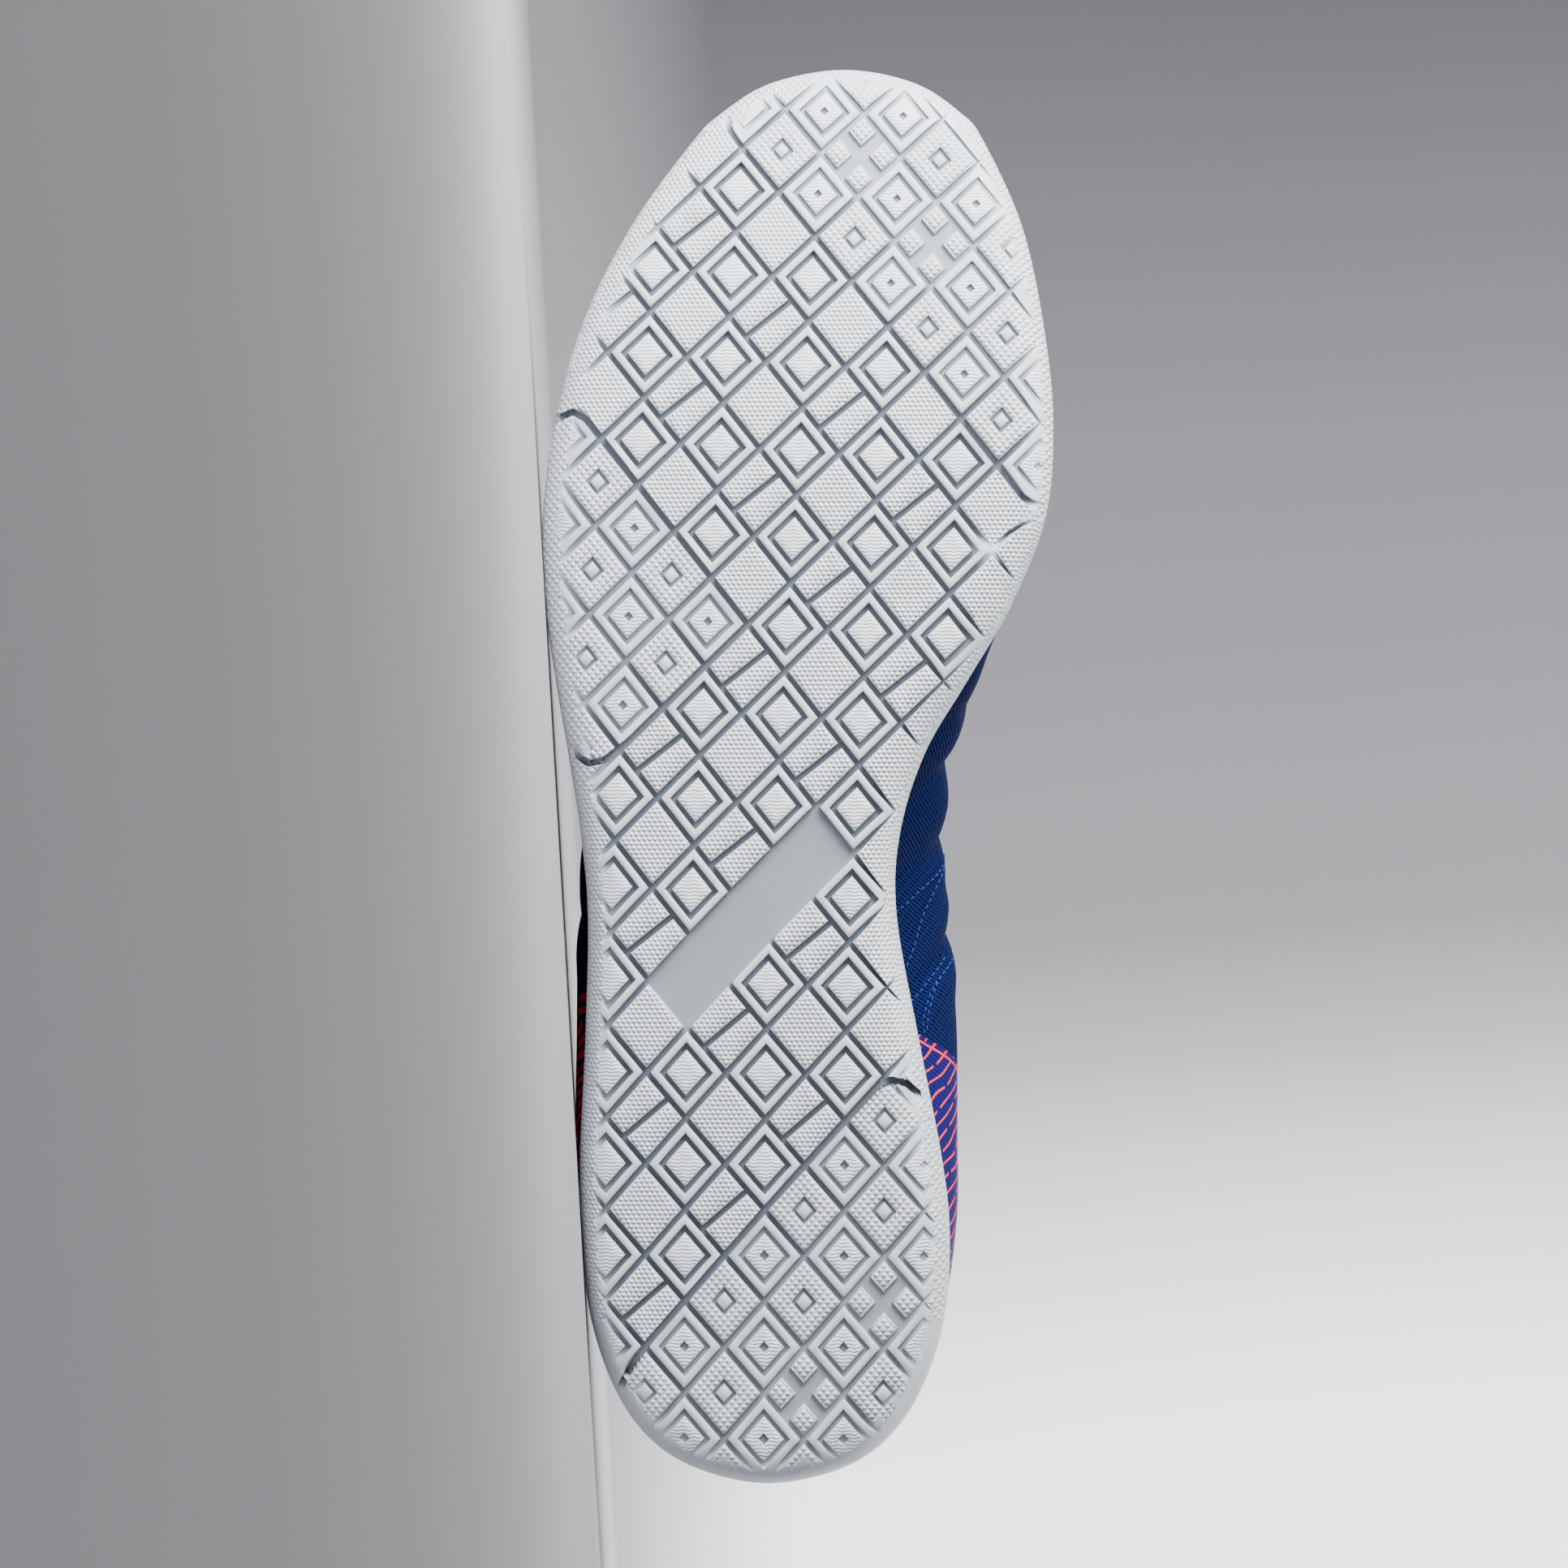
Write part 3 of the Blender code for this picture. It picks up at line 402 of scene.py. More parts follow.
def make_wall_table():
    """WALLS with rows mirrored past heel and toe, so that the sections are smooth across both."""
    table = np.array(WALLS, float)
    mirrored = np.vstack([table[2:0:-1], table, table[-2:-4:-1]])
    half = WALL_COLUMNS.index("top_half")
    for rows in (slice(0, 2), slice(-2, None)):
        mirrored[rows, half] *= -1
    mirrored[:2, 0] *= -1
    mirrored[-2:, 0] = 2 - mirrored[-2:, 0]
    return mirrored


WALL_TABLE = make_wall_table()


@functools.cache
def spline_row(turn):
    """The WALLS row at this turn, worked out smoothly between the rows, as named columns."""
    turns = WALL_TABLE[:, 0]
    k = int(np.clip(np.searchsorted(turns, turn, "right") - 1, 1, len(turns) - 3))
    width = turns[k + 1] - turns[k]
    s = (turn - turns[k]) / width
    start = (WALL_TABLE[k + 1] - WALL_TABLE[k - 1]) / (turns[k + 1] - turns[k - 1]) * width
    end = (WALL_TABLE[k + 2] - WALL_TABLE[k]) / (turns[k + 2] - turns[k]) * width
    row = (
        (2 * s**3 - 3 * s**2 + 1) * WALL_TABLE[k] + (s**3 - 2 * s**2 + s) * start
        + (3 * s**2 - 2 * s**3) * WALL_TABLE[k + 1] + (s**3 - s**2) * end
    )
    return dict(zip(WALL_COLUMNS, row))


def lip_height(turn):
    """Height of the cup sole's lip above the level ground."""
    return SOLE_THICKNESS + spline_row(turn)["lip"] * INSTEP_HEIGHT


def bezier(a, b, c, d, s):
    return a * (1 - s) ** 3 + b * 3 * s * (1 - s) ** 2 + c * 3 * s**2 * (1 - s) + d * s**3


@functools.cache
def wall_section(turn, medial):
    """The points that guide the upper's outer face at one turn: feather edge, lip, widest place and top edge,
    with the two that draw the line from the widest place to the top."""
    row = spline_row(turn)
    foot, out = outline_at(turn, medial)
    out = Vector((out[0], out[1], 0))
    up = Vector((0, 0, 1))
    foot = Vector((foot[0], foot[1], 0))
    inside = foot - out * (SIDEWALL + GAP)
    bottom = inside + up * (SOLE_THICKNESS + GAP)
    lip = inside + up * (lip_height(turn) + 2 * GAP)
    widest = foot + out * row["wide_medial" if medial else "wide_lateral"] * BALL_WIDTH
    widest.z = SOLE_THICKNESS + row["wide_up"] * INSTEP_HEIGHT
    x = row["top_along"] * LENGTH
    side = 1 if medial else -1
    top = Vector((x, spine(x) + side * row["top_half"] * BALL_WIDTH, 0))
    top.z = SOLE_THICKNESS + row["of_heel"] * HEEL_HEIGHT + row["of_instep"] * INSTEP_HEIGHT
    inward = Vector((top.x - widest.x, top.y - widest.y, 0)).normalized()
    slope = math.radians(row["slope"])
    arrive = top - (inward * math.cos(slope) + up * math.sin(slope)) * (top - widest).length * 0.38
    return bottom, lip, widest, top, widest + up * row["rise"] * INSTEP_HEIGHT, arrive


def wall_point(turn, medial, v):
    """The upper's outer face on the level shoe: v goes from 0 at the feather edge to 1 at the top edge."""
    bottom, lip, widest, top, leave, arrive = wall_section(turn, medial)
    if v <= AT_LIP:
        return bottom.lerp(lip, v / AT_LIP)
    if v <= AT_WIDEST:
        rise = Vector((0, 0, widest.z - lip.z))
        share = (v - AT_LIP) / (AT_WIDEST - AT_LIP)
        return bezier(lip, lip + rise * 0.35, widest - rise * 0.45, widest, share)
    return bezier(widest, leave, arrive, top, (v - AT_WIDEST) / (1 - AT_WIDEST))


def wall_normal(turn, medial, v):
    """Outward normal of the upper's outer face."""
    step = 0.01
    back, on = max(0.0, turn - step), min(1.0, turn + step)
    along = wall_point(on, medial, v) - wall_point(back, medial, v)
    up = wall_point(turn, medial, min(1.0, v + step)) - wall_point(turn, medial, max(0.0, v - step))
    normal = up.cross(along) if medial else along.cross(up)
    if turn in (0.0, 1.0):
        normal.y = 0.0
    return normal.normalized()


def depth_below_top(turn, medial, depth):
    """The v at which the wall lies that far below its top edge, measured down the wall."""
    v, run, stride = 1.0, 0.0, 0.0
    last = wall_point(turn, medial, v)
    while run < depth and v > 0.3:
        v -= 0.02
        here = wall_point(turn, medial, v)
        stride = (here - last).length
        run += stride
        last = here
    return v + 0.02 * (run - depth) / stride


def lattice(m, n):
    """Where the point (m, n) of the tread's slanting rows lies on the level sole."""
    across = RING_ORIGIN[0] + (m - n) / 2
    row = RING_ORIGIN[1] - (m + n) / 2
    x = FIRST_ROW + PITCH_ALONG * row - PITCH_CLOSING * row * abs(row)
    slope = (spine(x + MM) - spine(x - MM)) / (2 * MM)
    size = math.hypot(1, slope)
    return Vector((x - across * PITCH_ACROSS * slope / size, spine(x) + across * PITCH_ACROSS / size, 0))


def in_zone(m, n):
    """Whether a cell lies in the shallow-cut toe, lateral forefoot or heel zone."""
    return n <= -1 or (n >= 5 and m <= 5) or m >= 13


def shoe_axes():
    """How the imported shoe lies: its tread's facing gives the turn, and the outsole's corners the place."""
    tread = next(m for m in frame["record"]["mounts"] if m["name"] == "tread")
    up = -Vector(tread["axis"]).normalized()
    toe = Vector((up.z, 0, -up.x)).normalized()
    turn = Matrix((toe, up.cross(toe), up)).transposed()
    back = turn.transposed()
    corners = np.array([back @ v.co for v in frame["nodes"]["outsole"].data.vertices])
    low = corners.min(0)
    place = Vector((low[0], low[1] - RIM[:, 1].min(), low[2]))
    return Matrix.Translation(turn @ place) @ turn.to_4x4()


SHOE = shoe_axes()


def linear(hex_value):
    """The linear colour of an sRGB hex value."""
    parts = [int(hex_value[k : k + 2], 16) / 255 for k in (1, 3, 5)]
    return [c / 12.92 if c <= 0.04045 else ((c + 0.055) / 1.055) ** 2.4 for c in parts]


length = functools.partial(FloatProperty, unit="LENGTH", precision=5)
colour = functools.partial(FloatVectorProperty, subtype="COLOR", size=3, min=0, max=1)


class TreadSizes(bpy.types.PropertyGroup):
    """Sizes of the tread's relief."""

    groove_width: length(name="Groove width", description="Width of the deep grooves",
                         default=1.2 * MM, min=0.4 * MM, max=2 * MM)
    groove_depth: length(name="Groove depth", description="Depth of the grooves between the lugs",
                         default=1.6 * MM, min=0.4 * MM, max=3 * MM)
    zone_depth: length(name="Zone depth", description="Depth of the grooves in the toe and heel zones",
                       default=0.9 * MM, min=0.2 * MM, max=2 * MM)
    edge: length(name="Lug edge", description="Width of the rounding on every lug's edge",
                 default=0.17 * MM, min=0.05 * MM, max=0.5 * MM)
    rubber: colour(name="Rubber", description="Colour of the rubber", default=linear("#dde3e8"))


class UpperSizes(bpy.types.PropertyGroup):
    """Sizes and colours of the upper."""

    thread: length(name="Thread spacing", description="Distance between neighbouring threads of the fabric",
                   default=0.85 * MM, min=0.3 * MM, max=2 * MM)
    fabric: colour(name="Fabric", description="Colour of the fabric", default=linear("#051d64"))
    film: colour(name="Film", description="Colour of the film on the heel quarters",
                 default=linear("#100d58"))
    print_colour: colour(name="Print", description="Colour of the lines printed on the film",
                         default=linear("#f5203c"))
    folds: length(name="Folds", description="Depth of the soft folds at the arch",
                  default=1.4 * MM, min=0, max=3 * MM)
    lace_width: length(name="Lace width", description="Width of the flat lace",
                       default=6 * MM, min=3 * MM, max=9 * MM)


class StageSettings(bpy.types.PropertyGroup):
    """The floor, backdrop, lights and camera."""

    camera_distance: length(name="Camera distance", description="Distance from the camera to the tread",
                            default=0.9, min=0.5, max=5)
    camera_clearance: length(name="Camera height", description="Height of the camera above the floor",
                             default=6 * MM, min=2 * MM, max=1)
    frame_width: length(name="Frame", description="How much of the tread's plane the picture takes in",
                        default=312 * MM, min=0.1, max=1)
    key: IntProperty(name="Key light", description="Power of the key light in watts",
                     default=34, min=0, max=500)


def fill(tree, node, inputs):
    """Fills a node's inputs, by name or number, each with a socket to link or a constant."""
    for key, value in inputs.items():
        socket = node.inputs[key]
        if isinstance(value, bpy.types.NodeSocket):
            tree.links.new(value, socket)
        else:
            socket.default_value = (*value[:3], 1) if socket.type == "RGBA" else value


def add_node(tree, kind, *values, out=0, **settings):
    """Adds a node and gives one of its outputs. The kind may carry an operation, values fill the inputs in
    order, and settings are attributes or, with in_, inputs by name or number."""
    kind, _, operation = kind.partition(" ")
    node = tree.nodes.new("ShaderNode" + kind)
    if operation:
        node.operation = operation
    inputs = dict(enumerate(values))
    for name, value in settings.items():
        if name.startswith("in_"):
            key = name[3:]
            inputs[int(key) if key.isdigit() else key.replace("_", " ")] = value
        else:
            setattr(node, name, value)
    fill(tree, node, inputs)
    return node.outputs[out]


def new_material(name, **inputs):
    """(material, a function that adds a node to it, a function that fills its shader's inputs)."""
    made = bpy.data.materials.new(name)
    made.use_nodes = True
    tree = made.node_tree
    shader = tree.nodes["Principled BSDF"]
    fill(tree, shader, {key.replace("_", " "): value for key, value in inputs.items()})
    return made, functools.partial(add_node, tree), functools.partial(fill, tree, shader)


def moulded_rubber():
    """White thermoplastic rubber straight from its mould: satin, with its fine dots, waves and grid."""
    made, node, shade = new_material("moulded_white_rubber", Roughness=0.48, IOR=1.5)
    place = node("UVMap", uv_map="sole")
    x, y = node("SeparateXYZ", place, out=slice(2))
    finish = node("Attribute", attribute_name="finish", out="Fac")
    groove_shade = node("Attribute", attribute_name="groove_shade", out="Fac")

    # Raised dots in a triangular net, drawn coarser than life so that they show
    third = math.sqrt(3) / 2
    turn = 2 * math.pi / (DOT_SPACING * third)
    dots = 0.0
    for wx, wy in ((1, 0), (0.5, third), (0.5, -third)):
        slanted = node("Math ADD", node("Math MULTIPLY", x, wx * turn), node("Math MULTIPLY", y, wy * turn))
        dots = node("Math ADD", node("Math COSINE", slanted), dots)
    dots = node("Math MULTIPLY_ADD", dots, 1 / 4.5, 1 / 3)

    # Fine wavy lines across the ring pads
    sway = node("Math SINE", node("Math MULTIPLY", y, 2 * math.pi / WAVE_LENGTH))
    across = node("Math MULTIPLY", x, 2 * math.pi / WAVE_SPACING)
    waves = node("Math SINE", node("Math ADD", across, node("Math MULTIPLY", sway, 0.9)))
    waves = node("Math MULTIPLY_ADD", waves, 0.14, 0.5)

    # Small raised squares along the lattice
    squares = [
        node("Math COSINE", node("Math MULTIPLY", way, 2 * math.pi * SQUARES_PER_CELL))
        for way in node("SeparateXYZ", node("UVMap", uv_map="cells"), out=slice(2))
    ]
    net = node("Math MULTIPLY_ADD", node("Math MINIMUM", *squares), 0.5, 0.5)

    height = node("Math MULTIPLY", dots, node("Math COMPARE", finish, DOTTED, 0.4))
    for pattern, wanted in ((waves, WAVED), (net, GRIDDED)):
        height = node("Math MULTIPLY_ADD", pattern, node("Math COMPARE", finish, wanted, 0.4), height)
    grain = node("TexNoise", place, in_Scale=1 / (0.35 * MM), in_Detail=2.0)
    height = node("Math MULTIPLY_ADD", grain, 0.18, height)
    relief = node("Bump", in_Height=height, in_Strength=1.0, in_Distance=0.34 * MM)

    # Painted shade: a little darker in the troughs of the mould's dots, waves and net, and grey in the grooves
    # by the mesh's painted groove shade
    cloud = node("TexNoise", place, in_Scale=1 / (28 * MM), in_Detail=3.0)
    rubber = bpy.context.scene.tread_sizes.rubber
    pale = node("Mix", node("Math MULTIPLY", cloud, 0.22), in_6=rubber, in_7=linear("#cdd4db"), **COLOURS)
    trough_shade = node("Math MULTIPLY_ADD", height, -0.5, 0.45)
    pale = node("Mix", trough_shade, in_6=pale, in_7=linear("#98a1ab"), **COLOURS)
    shaded_colour = node("Mix", node("Math MULTIPLY", groove_shade, 0.95), in_6=pale, in_7=linear("#5d656e"), **COLOURS)

    # Brownish scuffs near the toe, ragged at their edges
    ragged = node("TexNoise", place, in_Scale=1 / (1.8 * MM), in_Detail=3.0)
    for along, across, radius, strength in SCUFFS:
        away = node("VectorMath DISTANCE", place, (along * MM, across * MM, 0), out="Value")
        away = node("Math MULTIPLY_ADD", ragged, 2.4 * MM, away)
        share = node("Math MULTIPLY_ADD", away, -1 / (radius * MM), 1 + 1.2 / radius, use_clamp=True)
        share = node("Math MULTIPLY", share, strength)
        shaded_colour = node("Mix", share, in_6=shaded_colour, in_7=linear("#8f6a3c"), **COLOURS)
    shade({"Base Color": shaded_colour, "Normal": relief})
    return made


def woven_fabric():
    """Heavy polyester twill: matt, with thick slanting threads, and a satin film on the heel quarters."""
    sizes = bpy.context.scene.upper_sizes
    made, node, shade = new_material("woven_polyester_upper", Roughness=0.85, Specular_IOR_Level=0.12)
    place = node("UVMap", uv_map="wall")
    u, v = node("SeparateXYZ", place, out=slice(2))
    inside_film = node("Attribute", attribute_name="film", out="Fac")
    film = node("Math GREATER_THAN", inside_film, 0.0)

    turn = 2 * math.pi / (sizes.thread * math.sqrt(2))
    weft = node("Math SINE", node("Math MULTIPLY", node("Math SUBTRACT", u, v), turn))
    warp = node("Math SINE", node("Math MULTIPLY", node("Math ADD", u, v), turn / 2))
    weave = node("Math MULTIPLY", weft, node("Math MULTIPLY_ADD", warp, 0.4, 0.6))
    fuzz = node("TexNoise", place, in_Scale=1 / (0.5 * MM), in_Detail=3.0)
    weave = node("Math MULTIPLY_ADD", fuzz, 0.5, node("Math MULTIPLY_ADD", weave, 0.5, 0.25))
    cloth = node("Mix", weave, in_6=linear("#000106"), in_7=sizes.fabric, **COLOURS)
    cloud = node("TexNoise", place, in_Scale=1 / (18 * MM), in_Detail=2.0)
    cloth = node("Mix", node("Math MULTIPLY", cloud, 0.35), in_6=cloth, in_7=linear("#01071f"), **COLOURS)

    # The print: slanting hatch lines that swell and thin, broken into short strokes
    sway = node("TexNoise", place, in_Scale=1 / (14 * MM), in_Detail=1.0)
    slanted = node("Math MULTIPLY_ADD", u, 1 / (3.2 * MM), node("Math MULTIPLY", v, 1 / (4.6 * MM)))
    slanted = node("Math MULTIPLY_ADD", sway, 2.6, slanted)
    from_middle = node("Math ABSOLUTE", node("Math SUBTRACT", node("Math FRACT", slanted), 0.5))
    inked = node("Math LESS_THAN", from_middle, node("Attribute", attribute_name="ink", out="Fac"))
    stagger = node("Math MULTIPLY", node("Math FLOOR", slanted), 0.37)
    stroke = node("Math FRACT", node("Math MULTIPLY_ADD", v, 1 / (9 * MM), stagger))
    inked = node("Math MULTIPLY", inked, node("Math GREATER_THAN", stroke, 0.12))
    edge_line = node("Math COMPARE", inside_film, 1.6 * MM, 0.28 * MM)
    inked = node("Math MAXIMUM", inked, edge_line)
    printed = node("Mix", inked, in_6=sizes.film, in_7=sizes.print_colour, **COLOURS)

    raised = node("Math MULTIPLY", weave, node("Math MULTIPLY_ADD", film, -0.75, 1.0))
    shade({
        "Base Color": node("Mix", film, in_6=cloth, in_7=printed, **COLOURS),
        "Roughness": node("Math MULTIPLY_ADD", film, -0.38, 0.82),
        "Normal": node("Bump", in_Height=raised, in_Strength=1.0, in_Distance=0.4 * MM),
    })
    return made


# Cloths in two shades: the raised threads' and the gaps' colour, distance between threads, roughness, and how
# deep the weave is
CLOTHS = {
    # Pressed felt, dull and even
    "felted_lasting_board": ("#2a3250", "#161b30", 0.9 * MM, 0.85, 0.2 * MM),
    # Soft knits, matt with small dark gaps
    "knitted_lining": ("#16264f", "#080e22", 0.9 * MM, 0.85, 0.2 * MM),
    "knitted_tongue": ("#0b2678", "#020a30", 0.9 * MM, 0.85, 0.2 * MM),
    "brushed_sock_lining": ("#141c38", "#090d1e", 0.8 * MM, 0.85, 0.2 * MM),
    # Coated synthetic with a faint shine and a shallow grain
    "matt_synthetic_eyestay": ("#0a206a", "#040f3c", 0.7 * MM, 0.6, 0.1 * MM),
    # Tight flat weave of bright polyester
    "flat_woven_lace": ("#e9edf2", "#b9c0c9", 0.8 * MM, 0.8, 0.12 * MM),
    # Twisted sewing thread, its strands a little darker where they meet
    "polyester_thread_white": ("#eef1f5", "#c2c9d1", 0.5 * MM, 0.85, 0.2 * MM),
    "polyester_thread_blue": ("#2448a8", "#102a70", 0.5 * MM, 0.85, 0.2 * MM),
}


def plain_cloth(name):
    """One of CLOTHS as a material on Object coordinates."""
    high, low, spacing, roughness, depth = CLOTHS[name]
    made, node, shade = new_material(name, Roughness=roughness, Specular_IOR_Level=0.3)
    place = node("TexCoord", out="Object")
    turn = 2 * math.pi / spacing
    threads = []
    for way in node("SeparateXYZ", place, out=slice(3)):
        threads.append(node("Math SINE", node("Math MULTIPLY", way, turn)))
    weave = node("Math MULTIPLY", threads[0], node("Math MULTIPLY", threads[1], threads[2]))
    fuzz = node("TexNoise", place, in_Scale=1 / (0.6 * spacing), in_Detail=3.0)
    weave = node("Math MULTIPLY_ADD", fuzz, 0.7, node("Math MULTIPLY_ADD", weave, 0.4, 0.2))
    shade({
        "Base Color": node("Mix", weave, in_6=linear(low), in_7=linear(high), **COLOURS),
        "Normal": node("Bump", in_Height=weave, in_Strength=0.8, in_Distance=depth),
    })
    return made


def add_object(name, data):
    """Links a new object to the scene."""
    made = bpy.data.objects.new(name, data)
    bpy.context.scene.collection.objects.link(made)
    return made


def smooth_object(bm, name, materials):
    """Turns a bmesh into a smooth object with these materials."""
    mesh = bpy.data.meshes.new(name)
    bm.to_mesh(mesh)
    bm.free()
    for material in materials:
        mesh.materials.append(material)
    mesh.shade_smooth()
    return add_object(name, mesh)


def finished(bm, name, materials, replaced=(), angle=38):
    """Lays a level bmesh down as a finished piece of the shoe, riding on its one body."""
    bmesh.ops.transform(bm, matrix=SHOE, verts=bm.verts)
    piece = smooth_object(bm, name, materials)
    piece.data.set_sharp_from_angle(angle=math.radians(angle))
    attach(piece, "root")
    if replaced:
        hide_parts(*replaced)
    return piece


def bend(bm):
    """Gives a level mesh the toe spring and the heel lift."""
    for vertex in bm.verts:
        vertex.co = bent(vertex.co)


def lattice_sheet(depth_of):
    """The tread's grid of slanting cells as a sheet at groove depth, facing down, with each cell's face."""
    wide, high = CELLS_M[1] - CELLS_M[0], CELLS_N[1] - CELLS_N[0]
    bm = bmesh.new()
    bmesh.ops.create_grid(bm, x_segments=wide, y_segments=high, size=0.5)
    bm.faces.layers.int.new("finish")
    # Each vertex's painted groove shade, from none to full, which darkens the rubber's colour
    bm.verts.layers.float.new("groove_shade")
    cells = {}
    for face in bm.faces:
        c = face.calc_center_median()
        cell = (CELLS_M[0] + int((c.x + 0.5) * wide), CELLS_N[0] + int((c.y + 0.5) * high))
        cells[cell] = face
    for v in bm.verts:
        m = CELLS_M[0] + (v.co.x + 0.5) * wide - 0.5
        n = CELLS_N[0] + (v.co.y + 0.5) * high - 0.5
        v.co = lattice(round(2 * m) / 2, round(2 * n) / 2)
    for cell, face in cells.items():
        for v in face.verts:
            v.co.z = max(v.co.z, depth_of(cell))
    bm.normal_update()
    if next(iter(cells.values())).normal.z > 0:
        bmesh.ops.reverse_faces(bm, faces=bm.faces)
    far = [c for c, f in cells.items() if nearest_rim(*f.calc_center_median()[:2])[1] < -PITCH_ACROSS]
    bmesh.ops.delete(bm, geom=[cells.pop(c) for c in far], context="FACES")
    return bm, cells


def step(bm, faces, inset, height):
    """Insets each face by itself and sets its height."""
    bmesh.ops.inset_individual(bm, faces=faces, thickness=inset, use_even_offset=True)
    for face in faces:
        for v in face.verts:
            v.co.z = height


def cut_cell(bm, face, ways, half):
    """Cuts a cell's floor along each way at a half width either side, and returns all its parts."""
    middle = face.calc_center_median()
    parts = {face}
    for way in ways:
        for side in (-1, 1):
            geom = [g for f in parts for g in (f, *f.edges, *f.verts)]
            made = bmesh.ops.bisect_plane(bm, geom=list(dict.fromkeys(geom)), dist=1e-7,
                                          plane_co=middle + way * side * half, plane_no=way)
            parts |= {g for g in made["geom"] if isinstance(g, bmesh.types.BMFace)}
            parts = {f for f in parts if f.is_valid}
    return parts, middle


def carve_tread(bm, cells, sizes):
    """Raises the lugs of every cell out of the sheet, and marks their finishes."""
    finish = bm.faces.layers.int["finish"]
    edge = sizes.edge
    half = sizes.groove_width / 2 - LUG_WALL
    lugs = {c: f for c, f in cells.items() if c not in BARE_PANEL}
    bmesh.ops.inset_individual(bm, faces=list(lugs.values()), thickness=half, use_even_offset=True)

    groups = {kind: [] for kind in ("ring", "plain", "split", "eye", "small", "cross")}
    for (m, n), face in lugs.items():
        if in_zone(m, n):
            kind = "eye" if (m + n) % 2 == 0 else "cross" if (m, n) in CROSS_CELLS else "small"
        else:
            kind = "ring" if (m + n) % 2 == 0 else "plain" if n % 2 == 0 else "split"
            # Cells at the very edge are plain, and more of them along the arch
            middle = face.calc_center_median()
            row, inside = nearest_rim(middle.x, middle.y)
            arch = row.medial and row.turn < 0.62
            room = {"ring": (1.5, 2.5), "split": (3.0, 7.0), "plain": (0.0, 0.0)}[kind]
            if inside < room[arch] * MM:
                kind = "plain"
        if kind == "split":
            way = (lattice(m + 0.5, n) - lattice(m - 0.5, n)).normalized()
            parts, middle = cut_cell(bm, face, [way], half)
            groups["split"] += [f for f in parts if abs((f.calc_center_median() - middle).dot(way)) > 2 * MM]
        elif kind == "cross":
            way_a = (lattice(m + 0.5, n) - lattice(m - 0.5, n)).normalized()
            way_b = (lattice(m, n + 0.5) - lattice(m, n - 0.5)).normalized()
            across_a, across_b = Vector((-way_b.y, way_b.x, 0)), Vector((-way_a.y, way_a.x, 0))
            parts, middle = cut_cell(bm, face, [across_a, across_b], 1.2 * MM)
            for f in parts:
                away = f.calc_center_median() - middle
                if abs(away.dot(across_a)) > 2 * MM and abs(away.dot(across_b)) > 2 * MM:
                    groups["cross"].append(f)
        else:
            groups[kind].append(face)

    everything = [f for group in groups.values() for f in group]
    step(bm, everything, LUG_WALL, edge * 0.8)
    step(bm, everything, edge, 0)

    def sink(faces, width, depth):
        """A groove that width round what is left of each face."""
        floor = width - 2 * LUG_WALL
        lip = edge * 0.8
        for inset, height in ((edge, lip), (LUG_WALL, depth), (floor, depth), (LUG_WALL, lip), (edge, 0)):
            step(bm, faces, inset, height)

    def mark(faces, kind):
        for face in faces:
            face[finish] = kind

    deep, shallow = sizes.groove_depth * 0.85, sizes.zone_depth * 0.9
    mark(groups["plain"] + groups["split"], DOTTED)
    mark(groups["cross"] + groups["small"], GRIDDED)
    step(bm, groups["ring"], 1.15 * MM - edge, 0)
    sink(groups["ring"], 1.1 * MM, deep)
    step(bm, groups["eye"], 1.25 * MM - edge, 0)
    sink(groups["eye"], 1.0 * MM, shallow)
    mark(groups["ring"] + groups["eye"], WAVED)
    # The small diamond in the middle of a netted cell
    step(bm, groups["small"], 3.1 * MM, 0)
    mark(groups["small"], SMOOTH)
    sink(groups["small"], 0.5 * MM + 2 * LUG_WALL, shallow)
    # The eye in the middle of a zone's ring
    step(bm, groups["eye"], 1.9 * MM, 0)
    mark(groups["eye"], SMOOTH)
    step(bm, groups["eye"], LUG_WALL, edge)
    step(bm, groups["eye"], LUG_WALL, shallow)


def refine(bm, longest, wanted):
    """Halves every wanted edge longer than this, as often as it takes."""
    for _ in range(4):
        edges = [e for e in bm.edges if e.calc_length() > longest and wanted(e)]
        if not edges:
            break
        bmesh.ops.subdivide_edges(bm, edges=edges, cuts=1, use_grid_fill=True)


def relief_ends(turn, medial):
    """How far inside the outline the relief ends at this turn."""
    table = np.array(RELIEF)
    return float(np.interp(turn, table[:, 0], table[:, 2 if medial else 1])) * MM


def split_at(bm, level, field):
    """Cuts the faces along the line where the field, with its value for every vertex, reaches this level."""
    for v, value in field.items():
        if abs(value - level) < 0.05 * MM:
            field[v] = level

    def crossing():
        return [e for e in bm.edges if (field[e.verts[0]] - level) * (field[e.verts[1]] - level) < 0]

    many = {f for e in crossing() for f in e.link_faces if len(f.verts) > 3}
    bmesh.ops.triangulate(bm, faces=list(many))
    cut = {v for v, value in field.items() if value == level}
    faces = set()
    for edge in crossing():
        a, b = edge.verts
        faces.update(edge.link_faces)
        share = (field[a] - level) / (field[a] - field[b])
        place = a.co.lerp(b.co, share)
        made = bmesh.utils.edge_split(edge, a, share)[1]
        made.co = place
        field[made] = level
        cut.add(made)
    for face in faces:
        ends = [v for v in face.verts if v in cut]
        if len(ends) == 2 and not any(e.other_vert(ends[0]) == ends[1] for e in ends[0].link_edges):
            bmesh.utils.face_split(face, ends[0], ends[1])


